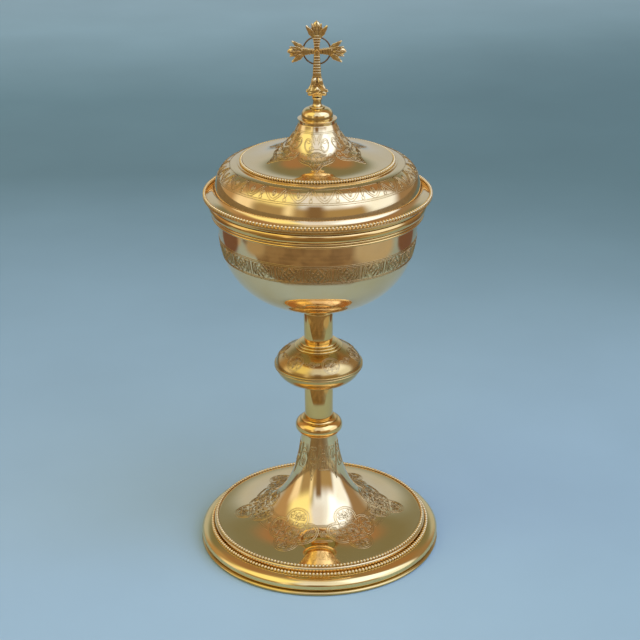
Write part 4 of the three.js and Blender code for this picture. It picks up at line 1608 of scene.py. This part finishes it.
    def engrave_bell(self, shop: Workshop, face: Face) -> None:
        """Cuts the foliage of the bell."""
        engraver = Engraver(face)
        for station in self.bell_lines:
            engraver.ring(station, 0.18, 120)
        for i in range(self.lobes):
            azimuth = self.lobe_azimuth + 360 * i / self.lobes
            engraver.border(self.lobe_edge(0.0), azimuth, 0.4)
            engraver.border(self.lobe_edge(1.5), azimuth, 0.3)
            engraver.cut(self.lobe(), azimuth, self.lobe_station, 0.25)
        piece = engraver.piece("bell_engraving")
        shop.fit(piece, CUT_LINE, Body.LID, Slot.ENGRAVED)


# Finial and cross


@dataclass
class Finial:
    """The lip, boss and neck under the cross, with the stud inside the lid."""

    level: float
    stud_radius: float = 1.4
    lip_height: float = 2.4
    boss_radius: float = 9.3
    boss_height: float = 6.9
    boss_top_radius: float = 4.5
    neck_height: float = 5.9
    washer_radius: float = 7.5
    washer_height: float = 1.2
    nut_flats: float = 7.0
    nut_height: float = 2.6
    stud_tail: float = 5.3

    def build(self, shop: Workshop) -> float:
        """Builds and dresses the finial.

        Args:
            shop: The workshop.

        Returns:
            The height of the neck's top.
        """
        bore = self.stud_radius + FIT
        level, top = self.level, self.level + self.lip_height
        lip = [(bore, level), (11.0, level), (10.9, top - 0.7), (11.4, top - 0.5), (11.4, top), (bore, top)]
        outline = softened(lip, 0.3)
        shop.turn("finial_lip_spun", outline, GOLDEN, Body.LID, Slot.POLISHED, "finial_lip", MEDIUM_STEPS)

        boss_top = top + self.boss_height * math.sqrt(1 - (self.boss_top_radius / self.boss_radius) ** 2)
        crown = (self.boss_top_radius, boss_top)
        dome = curve((9.1, top), (9.5, top + 4.2), (7.4, boss_top - 0.1), crown, 32)
        outline = softened([(bore, top), *dome, (bore, boss_top)], 0.2, 50)
        shop.turn("finial_boss_spun", outline, POLISHED, Body.LID, Slot.POLISHED, "finial_boss", MEDIUM_STEPS)

        neck_top = boss_top + self.neck_height
        neck = [(bore, boss_top), *arc((4.05, boss_top + 0.45), (0.45, 0.45), -90, 90, 10)]
        lead, follow = (2.4, boss_top + 1.5), (2.3, boss_top + 2.6)
        neck += curve((3.5, boss_top + 0.95), lead, follow, (2.4, boss_top + 4.2), 16)
        neck += arc((2.45, neck_top - 0.55), (0.5, 0.55), -90, 90, 10)
        neck.append((bore, neck_top))
        shop.turn("finial_neck_spun", neck, POLISHED, Body.LID, Slot.POLISHED, "finial_neck", SMALL_STEPS)

        seat = level - self.washer_height
        washer = ring_outline(bore, self.washer_radius, seat, level, 0.2)
        shop.turn("finial_washer_turned", washer, BRASS, Body.LID, Slot.PLAIN, "finial_washer", SMALL_STEPS)
        piece = hex_nut("finial_nut_turned", self.nut_flats, bore, seat - self.nut_height, self.nut_height)
        shop.fit(piece, BRASS, Body.LID, Slot.PLAIN, "finial_nut")
        ends = (level - self.stud_tail, neck_top - FIT)
        piece = threaded_rod("finial_stud_threaded", self.stud_radius, *ends, level - 1)
        shop.fit(piece, BRASS, Body.LID, Slot.PLAIN, "finial_stud")
        return neck_top


@dataclass
class Cross:
    """The cast cross: ribbed bars, leafy ends, a bell-shaped foot and the wire ring behind."""

    foot: float
    shaft: float = 26.5
    arm_reach: float = 17.0
    top_reach: float = 17.6

    @property
    def crossing(self) -> float:
        """Height of the crossing."""
        return self.foot + self.shaft

    def bar(self, low: float, high: float, half_low: float, half_high: float, depth: float) -> Piece:
        """An upright tapered bar with bevelled edges.

        Args:
            low: Height of its lower end over the crossing.
            high: Height of its upper end.
            half_low: Half its width at the lower end.
            half_high: Half its width at the upper end.
            depth: Half its depth.

        Returns:
            The bar.
        """
        deselect()
        bpy.ops.mesh.primitive_cone_add(
            vertices=4, radius1=half_low * math.sqrt(2), radius2=half_high * math.sqrt(2), depth=high - low
        )
        piece = named("bar")
        piece.data.transform(Matrix.Rotation(math.pi / 4, 4, "Z"))
        for vertex in piece.data.vertices:
            vertex.co.y = math.copysign(depth, vertex.co.y)
        piece.data.transform(Matrix.Translation((0, 0, (low + high) / 2)))
        piece.data.transform(Matrix.Scale(MM, 4))
        edit_all()
        bpy.ops.mesh.bevel(offset=0.5 * MM, segments=3)
        bpy.ops.object.mode_set(mode="OBJECT")
        return piece

    def rung(self, level: float, half: float, front: float, radius: float = 0.52) -> Piece:
        """A small rounded rib across a bar."""
        deselect()
        bpy.ops.mesh.primitive_cylinder_add(
            vertices=12,
            radius=radius * MM,
            depth=half * 2 * MM,
            location=(0, front * MM, level * MM),
            rotation=(0, math.pi / 2, 0),
        )
        piece = named("rung")
        place_mesh(piece)
        edit_all()
        bpy.ops.mesh.bevel(offset=0.2 * MM, segments=2)
        bpy.ops.object.mode_set(mode="OBJECT")
        return piece

    def ball(self, centre: Place, size: Place, lean: float = 0.0) -> Piece:
        """A rounded swelling, leaning by an angle in degrees about the front direction."""
        deselect()
        bpy.ops.mesh.primitive_uv_sphere_add(
            segments=20,
            ring_count=12,
            radius=1.0,
            location=[c * MM for c in centre],
            rotation=(0, math.radians(lean), 0),
            scale=[s * MM for s in size],
        )
        piece = named("ball")
        place_mesh(piece)
        return piece

    def leaf_blade(self, length: float, half: float, curl_out: float) -> Piece:
        """A cast leaf that springs from the origin along +Z and curls forward at its tip.

        Args:
            length: Its length.
            half: Its greatest half width.
            curl_out: How far its tip comes forward.

        Returns:
            The leaf.
        """
        deselect()
        bpy.ops.mesh.primitive_grid_add(x_subdivisions=8, y_subdivisions=12, size=2.0)
        piece = named("leaf")
        for vertex in piece.data.vertices:
            across, along = vertex.co.x, (vertex.co.y + 1) / 2
            width = half * (math.sin(math.pi * min(along**0.8, 1)) ** 0.8 + 0.18 * (1 - along))
            width *= 1 + 0.13 * math.sin(along * math.tau * 3)
            ridge = 0.55 * (1 - abs(across)) * math.sin(math.pi * min(along + 0.1, 1))
            bend = 0.5 * math.sin(math.pi * along) + curl_out * along**3
            vertex.co = (across * width * MM, -(ridge + bend + 0.25 * across**2) * MM, along * length * MM)
        thick = piece.modifiers.new("thick", "SOLIDIFY")
        thick.thickness = 0.9 * MM
        thick.offset = 0.0
        smooth = piece.modifiers.new("smooth", "SUBSURF")
        smooth.levels = smooth.render_levels = 1
        apply_modifiers(piece)
        return piece

    def leafy_end(self, reach: float) -> Piece:
        """The leafy end of an arm that points up.

        Args:
            reach: Distance from the crossing to its tip.

        Returns:
            The end.
        """
        parts = [self.bar(3.0, reach - 5.2, 1.3, 3.1, 1.35), self.ball((0, 0, reach - 8.6), (2.6, 1.8, 0.6))]
        parts.append(self.ball((0, 0, reach - 4.1), (2.3, 1.5, 3.6)))
        blade = self.leaf_blade(8.6, 1.35, 0.8)
        for side in (-1, 1):
            lean = Matrix.Rotation(math.radians(34 * side), 4, "Y")
            place = Matrix.Translation(Vector((1.2 * side, 0, reach - 10.0)) * MM)
            parts.append(copy_of(blade, place @ lean))
            lean = Matrix.Rotation(math.radians(17 * side), 4, "Y")
            place = Matrix.Translation(Vector((0.9 * side, 0, reach - 7.6)) * MM)
            parts.append(copy_of(blade, place @ lean @ Matrix.Scale(0.72, 4)))
        scales = [(-1.3, 8.4, 0.5, -26), (1.3, 8.4, 0.5, 26), (0.0, 8.2, 0.56, 0)]
        scales += [(-1.1, 6.2, 0.42, -18), (1.1, 6.2, 0.42, 18)]
        scales += ((0.0, 5.6, 0.46, 0), (0.0, 3.6, 0.38, 0))
        for across, below, size, angle in scales:
            for front in (-1, 1):
                flip = Matrix.Scale(front, 4, (0, 1, 0))
                lean = Matrix.Rotation(math.radians(angle), 4, "Y")
                place = Matrix.Translation(Vector((across, -1.25 * front, reach - below)) * MM)
                parts.append(copy_of(blade, place @ flip @ lean @ Matrix.Scale(size, 4)))
        bpy.data.objects.remove(blade)
        return joined(parts, "leafy_end")

    def gem(self, across: float, level: float, front: float, size: float) -> Piece:
        """A small raised diamond on the bell.

        Args:
            across: Its place across.
            level: Its height over the crossing.
            front: Its place forward.
            size: Half its height.

        Returns:
            The diamond.
        """
        deselect()
        narrow = size * 0.5 * MM
        bpy.ops.mesh.primitive_cone_add(vertices=4, radius1=size * MM, radius2=narrow, depth=1.1 * MM)
        made = named("gem")
        made.data.transform(Matrix.Rotation(math.pi / 2 * math.copysign(1, -front), 4, "X"))
        made.data.transform(Matrix.Translation(Vector((across, front, level)) * MM))
        return made

    def bell(self) -> list[Piece]:
        """The parts of the bell-shaped foot."""
        outline = [(0.0, -12.9), (2.3, -13.2), (2.6, -14.6), (3.1, -17.0), (3.8, -19.2)]
        outline += [(4.8, -21.0), (5.5, -22.4)]
        outline += [(5.2, -23.4), (4.1, -24.7), (2.9, -25.8), (2.6, -26.5), (0.0, -26.5)]
        core = spun("core", outline[::-1], 48)
        edit_all()
        bpy.ops.transform.resize(value=(1.0, 0.34, 1.0), center_override=(0, 0, 0))
        bpy.ops.object.mode_set(mode="OBJECT")
        parts = [core]
        blade = self.leaf_blade(5.4, 1.25, 0.5)
        for side in (-1, 1):
            parts.append(self.ball((2.7 * side, 0, -23.7), (3.1, 1.6, 1.7), 24 * side))
            parts.append(self.ball((5.0 * side, 0, -22.6), (1.3, 0.9, 0.7), -35 * side))
            place = Matrix.Translation(Vector((1.9 * side, 0, -21.4)) * MM)
            lean = Matrix.Rotation(math.radians(112 * side), 4, "Y")
            parts.append(copy_of(blade, place @ lean @ Matrix.Scale(0.86, 4)))
            for front in (-1, 1):
                flip = Matrix.Scale(front, 4, (0, 1, 0))
                place = Matrix.Translation(Vector((1.0 * side, -1.1 * front, -15.0)) * MM)
                parts.append(copy_of(blade, place @ flip @ Matrix.Rotation(math.radians(158 * side), 4, "Y")))
        bpy.data.objects.remove(blade)
        for front in (-1, 1):
            parts.append(self.gem(0, -22.3, 1.7 * front, 2.7))
            parts.append(self.gem(0, -17.9, 1.35 * front, 1.3))
            for side in (-1, 1):
                parts.append(self.gem(1.75 * side, -19.6, 1.35 * front, 1.25))
                parts.append(self.ball((0.95 * side, 1.15 * front, -15.4), (0.7, 0.6, 0.7)))
        return parts

    def build(self, shop: Workshop) -> None:
        """Builds and dresses the cross."""
        parts = [self.bar(-14.6, 0.0, 2.5, 1.6, 1.3), self.bar(-1.0, 9.0, 1.5, 1.7, 1.25), *self.bell()]
        arm = self.bar(1.0, 9.0, 1.4, 1.6, 1.2)
        side_end, top_end = self.leafy_end(self.arm_reach), self.leafy_end(self.top_reach)
        pairs = [(i, front) for i in range(4) for front in (-1, 1)]
        ribs = [self.rung(2.6 + 1.45 * i, 1.4 + 0.22 * i, 1.2 * front, 0.5) for i, front in pairs]
        arm = joined([arm, side_end, *ribs], "arm")
        for side in (-1, 1):
            parts.append(copy_of(arm, Matrix.Rotation(math.pi / 2 * side, 4, "Y")))
        bpy.data.objects.remove(arm)
        parts.append(top_end)
        for front in (-1, 1):
            parts += [self.rung(-2.9 - 1.55 * i, 1.6 + 0.1 * i, 1.3 * front) for i in range(7)]
            parts += [self.rung(2.9 + 1.5 * i, 1.5 + 0.25 * i, 1.3 * front) for i in range(4)]
            parts.append(self.gem(0, 0, 1.3 * front, 1.9))
        piece = joined(parts, "cross_cast")
        piece.data.transform(Matrix.Translation((0, 0, self.crossing * MM)))
        deselect()
        piece.select_set(True)
        edit_all()
        bpy.ops.mesh.normals_make_consistent(inside=False)
        bpy.ops.object.mode_set(mode="OBJECT")
        bpy.ops.object.shade_smooth_by_angle(angle=math.radians(50))
        shop.fit(piece, CAST, Body.LID, Slot.CAST, "cross")

        deselect()
        bpy.ops.mesh.primitive_torus_add(
            major_radius=7.75 * MM,
            minor_radius=0.45 * MM,
            major_segments=96,
            minor_segments=12,
            rotation=(math.pi / 2, 0, 0),
            location=(0, 1.5 * MM, self.crossing * MM),
        )
        ring = named("nimbus_ring")
        place_mesh(ring)
        bpy.ops.object.shade_smooth()
        shop.fit(ring, NIMBUS, Body.LID, Slot.WIRE, "cross_nimbus")


# Studio


@dataclass(frozen=True)
class Glow:
    """A soft-edged patch of the room's light, placed by its direction from the vessel.

    Angles are in degrees: azimuth from the viewer's side to the right, elevation up.
    """

    azimuth: float
    elevation: float
    wide: float
    high: float
    soft: float
    colour: Colour

    def window(self, tree: Tree, angle: Socket, middle: float, half: float) -> Socket:
        """A soft-edged mask about an angle.

        Args:
            tree: Where the nodes go.
            angle: The angle, in radians.
            middle: Middle of the mask in degrees.
            half: Half its width in degrees.

        Returns:
            The mask.
        """
        away = maths(tree, "ABSOLUTE", maths(tree, "SUBTRACT", angle, math.radians(middle)))
        return ranged(tree, away, math.radians(half - self.soft), math.radians(half + self.soft), 1.0, 0.0)

    def laid_over(self, tree: Tree, azimuth: Socket, elevation: Socket, under: object) -> Socket:
        """Lays the patch over what is there.

        Args:
            tree: Where the nodes go.
            azimuth: The azimuth in radians.
            elevation: The elevation in radians.
            under: The colour so far.

        Returns:
            The new colour.
        """
        across = self.window(tree, azimuth, self.azimuth, self.wide / 2)
        upright = self.window(tree, elevation, self.elevation, self.high / 2)
        return mixed(tree, maths(tree, "MULTIPLY", across, upright), under, (*self.colour, 1))


ROOM_BASE = (0.215, 0.22, 0.16, 1)
ROOM_GLOWS = (
    Glow(180.0, 0.0, 90.0, 54.0, 8.0, (0.32, 0.42, 0.50)),
    Glow(-180.0, 0.0, 90.0, 54.0, 8.0, (0.32, 0.42, 0.50)),
    Glow(180.0, 13.0, 110.0, 24.0, 5.0, (0.49, 0.55, 0.63)),
    Glow(-180.0, 13.0, 110.0, 24.0, 5.0, (0.49, 0.55, 0.63)),
    Glow(-112.0, 25.0, 40.0, 120.0, 12.0, (0.46, 0.33, 0.20)),
    Glow(112.0, 30.0, 50.0, 110.0, 14.0, (0.32, 0.24, 0.17)),
    Glow(38.0, 45.0, 118.0, 70.0, 9.0, (0.95, 1.16, 1.75)),
    Glow(62.0, 42.0, 62.0, 58.0, 9.0, (1.4, 1.75, 2.8)),
    Glow(-15.0, 62.0, 60.0, 46.0, 12.0, (0.82, 0.94, 1.35)),
    Glow(-62.0, 44.0, 64.0, 56.0, 12.0, (1.15, 1.12, 0.66)),
    Glow(-88.0, 6.0, 28.0, 36.0, 8.0, (0.98, 0.91, 0.78)),
    Glow(-8.0, 2.0, 130.0, 38.0, 10.0, (0.4, 0.315, 0.19)),
    Glow(-3.0, 8.0, 20.0, 44.0, 6.0, (0.22, 0.155, 0.10)),
    Glow(-32.0, 14.0, 9.0, 30.0, 6.0, (1.0, 0.95, 0.76)),
    Glow(76.0, 14.0, 38.0, 36.0, 9.0, (1.05, 1.28, 1.85)),
    Glow(-138.0, 54.0, 54.0, 24.0, 7.0, (0.35, 0.22, 0.13)),
    Glow(138.0, 54.0, 54.0, 24.0, 7.0, (0.35, 0.22, 0.13)),
    Glow(0.0, 86.0, 400.0, 14.0, 5.0, (0.66, 0.62, 0.60)),
)


@dataclass(frozen=True)
class Shadow:
    """A soft round patch of another colour on the floor: painted shade where the camera sees it, and a colour
    for the metal to mirror where it lies out of view.
    """

    middle: tuple[float, float]
    radius: float
    soft: float
    colour: Colour

    def laid_over(self, tree: Tree, place: Socket, under: Socket) -> Socket:
        """Lays the patch over the floor's colour.

        Args:
            tree: Where the nodes go.
            place: The place on the floor.
            under: The colour so far.

        Returns:
            The new colour.
        """
        ends = {0: place, 1: (*self.middle, 0.0)}
        away = node(tree, "ShaderNodeVectorMath", ends, operation="DISTANCE").outputs["Value"]
        mask = ranged(tree, away, self.radius - self.soft, self.radius + self.soft, 1.0, 0.0)
        return mixed(tree, mask, under, (*self.colour, 1))


# The first two patches are painted shade on floor the camera sees; the rest lie out of its view.
FLOOR_SHADOWS = (
    Shadow((0.62, 0.95), 0.5, 0.45, (0.14, 0.235, 0.24)),
    Shadow((0.42, 0.0), 0.24, 0.2, (0.38, 0.54, 0.60)),
    Shadow((0.60, -0.27), 0.29, 0.06, (0.55, 0.5, 0.34)),
    Shadow((-0.60, -0.18), 0.15, 0.05, (0.48, 0.39, 0.22)),
    Shadow((-0.62, 0.13), 0.08, 0.03, (0.55, 0.47, 0.33)),
    Shadow((-0.55, 0.30), 0.2, 0.03, (0.2, 0.11, 0.07)),
    Shadow((0.55, 0.30), 0.2, 0.03, (0.2, 0.11, 0.07)),
    Shadow((-0.66, -0.02), 0.055, 0.02, (0.13, 0.08, 0.05)),
)


# Colour of the paper by distance behind the vessel; the darker band about 0.3 to 1.4 m behind it is painted
# shade.
PAPER_AND_SHADE_STOPS = (
    (-0.25, (0.46, 0.63, 0.68)),
    (0.0, (0.45, 0.61, 0.66)),
    (0.27, (0.37, 0.52, 0.56)),
    (0.75, (0.17, 0.27, 0.27)),
    (1.05, (0.18, 0.29, 0.29)),
    (1.45, (0.32, 0.46, 0.46)),
    (2.25, (0.39, 0.50, 0.50)),
)
CLOTH_STOPS = ((0.36, (0.21, 0.145, 0.07)), (0.5, (0.27, 0.19, 0.095)), (0.64, (0.33, 0.24, 0.12)))


@dataclass
class Studio:
    """A plain pale floor, soft light and the photograph's camera."""

    eye: Place = (0.0, -0.8605, 0.51653)
    look: Place = (0.00098, 0.0, 0.14774)
    roll: float = -0.0053
    lens: float = 87.19

    def camera(self) -> None:
        """Adds the camera."""
        ahead = (Vector(self.look) - Vector(self.eye)).normalized()
        right = ahead.cross(Vector((0, 0, 1))).normalized()
        up = right.cross(ahead)
        c, s = math.cos(self.roll), math.sin(self.roll)
        right, up = right * c + up * s, up * c - right * s
        data = bpy.data.cameras.new("camera")
        data.lens = self.lens
        data.sensor_width = 36.0
        data.clip_start = 0.01
        camera = bpy.data.objects.new("camera", data)
        turn = Matrix((right, up, -ahead)).transposed().to_4x4()
        camera.matrix_world = Matrix.Translation(self.eye) @ turn
        bpy.context.collection.objects.link(camera)
        bpy.context.scene.camera = camera

    def cloth(self, tree: Tree, place: Socket) -> Socket:
        """Colour of the brown cloth that only the mirroring metal sees.

        Args:
            tree: Where the nodes go.
            place: The place on the floor.

        Returns:
            The colour.
        """
        creases = {"Vector": place, "Scale": 7.0, "Detail": 3.0, "Distortion": 0.6}
        folds = node(tree, "ShaderNodeTexNoise", creases)
        winding = {"Vector": place, "Scale": 5.0, "Distortion": 2.0, "Detail": 2.0}
        rings = node(tree, "ShaderNodeTexWave", winding, wave_type="RINGS", rings_direction="Z")
        level = maths(tree, "SUBTRACT", folds.outputs["Fac"], 0.06)
        return colour_ramp(tree, maths(tree, "MULTIPLY_ADD", rings.outputs["Fac"], 0.12, level), CLOTH_STOPS)

    def unseen(self, tree: Tree, place: Socket, across: Socket, depth: Socket) -> Socket:
        """Mask of the floor that the camera doesn't see.

        Args:
            tree: Where the nodes go.
            place: The place on the floor.
            across: Its distance to the right of the vessel.
            depth: Its distance behind the vessel.

        Returns:
            The mask.
        """
        aside = ranged(tree, maths(tree, "ABSOLUTE", across), 0.58, 0.75)
        ahead = ranged(tree, depth, -0.125, -0.15)
        away = node(tree, "ShaderNodeVectorMath", {0: place}, operation="LENGTH").outputs["Value"]
        front = maths(tree, "MULTIPLY", ahead, ranged(tree, away, 0.175, 0.215))
        return maths(tree, "MAXIMUM", aside, front)

    def floor(self) -> None:
        """Adds the floor: pale blue-grey paper with a band of painted shade behind the vessel and painted
        shade patches to its right, and cloth and soft patches out of the camera's view.
        """
        deselect()
        bpy.ops.mesh.primitive_plane_add(size=24.0)
        floor = named("floor")
        made = bpy.data.materials.new("floor_paper")
        made.use_nodes = True
        tree = made.node_tree
        place = node(tree, "ShaderNodeTexCoord").outputs["Object"]
        across, depth = node(tree, "ShaderNodeSeparateXYZ", {0: place}).outputs[:2]
        near, far = PAPER_AND_SHADE_STOPS[0][0], PAPER_AND_SHADE_STOPS[-1][0]
        stops = [((stop - near) / (far - near), colour) for stop, colour in PAPER_AND_SHADE_STOPS]
        colour = colour_ramp(tree, ranged(tree, depth, near, far, soft=False), stops)
        colour = mixed(tree, self.unseen(tree, place, across, depth), colour, self.cloth(tree, place))
        for shadow in FLOOR_SHADOWS:
            colour = shadow.laid_over(tree, place, colour)
        mottle = node(tree, "ShaderNodeTexNoise", {"Vector": place, "Scale": 6.0, "Detail": 6.0})
        level = ranged(tree, mottle.outputs["Fac"], 0.0, 1.0, 0.9, 1.1, soft=False)
        shade = node(tree, "ShaderNodeVectorMath", {0: colour}, operation="SCALE")
        tree.links.new(level, shade.inputs["Scale"])
        shader = tree.nodes["Principled BSDF"]
        shader.inputs["Roughness"].default_value = 0.75
        shader.inputs["Specular IOR Level"].default_value = 0.25
        tree.links.new(shade.outputs[0], shader.inputs["Base Color"])
        floor.data.materials.append(made)

    def lamp(self, name: str, place: Vector, size: Point, power: float, colour: Colour) -> None:
        """Adds a soft lamp that faces the vessel.

        Args:
            name: Name of the lamp.
            place: Where it stands.
            size: Its width and height.
            power: Its power in watts.
            colour: Its colour.
        """
        data = bpy.data.lights.new(name, "AREA")
        data.shape = "RECTANGLE"
        data.size, data.size_y = size
        data.energy = power
        data.color = colour
        lamp = bpy.data.objects.new(name, data)
        lamp.location = place
        lamp.rotation_euler = (Vector((0, 0, 0.15)) - place).to_track_quat("-Z", "Y").to_euler()
        lamp.visible_glossy = False
        bpy.context.collection.objects.link(lamp)

    def room(self) -> None:
        """Sets the world: an even dim tone with the soft patches of the room laid over it."""
        world = bpy.data.worlds.new("room")
        bpy.context.scene.world = world
        world.use_nodes = True
        tree = world.node_tree
        place = node(tree, "ShaderNodeTexCoord").outputs["Generated"]
        x, y, z = node(tree, "ShaderNodeSeparateXYZ", {0: place}).outputs
        azimuth = maths(tree, "ARCTAN2", x, maths(tree, "MULTIPLY", y, -1.0))
        elevation = maths(tree, "ARCSINE", z)
        colour: object = ROOM_BASE
        for glow in ROOM_GLOWS:
            colour = glow.laid_over(tree, azimuth, elevation, colour)
        back = tree.nodes["Background"]
        tree.links.new(colour, back.inputs["Color"])
        back.inputs["Strength"].default_value = 1.0

    def build(self) -> None:
        """Builds the studio."""
        self.camera()
        self.floor()
        self.room()
        self.lamp("large_window", Vector((1.45, -0.95, 1.05)), (1.0, 1.0), 2.4, (0.9, 1.0, 1.0))
        self.lamp("overhead", Vector((0.3, -0.9, 2.0)), (1.2, 1.2), 2.0, (0.92, 1.0, 1.0))
        bpy.context.scene.view_settings.view_transform = "Standard"


def main() -> None:
    """Builds the ciborium and its studio."""
    logging.basicConfig(level=logging.INFO, format="%(name)s: %(message)s")
    Studio().build()
    shop = Workshop()
    Foot().build(shop)
    stem = Stem()
    cup = Cup(stem.build(shop))
    cup.build(shop)
    stem.tie(shop, cup.foot - FIT)
    bell_top = Lid(cup.rim).build(shop)
    neck_top = Finial(bell_top).build(shop)
    Cross(neck_top).build(shop)


if __name__ == "__main__":
    main()
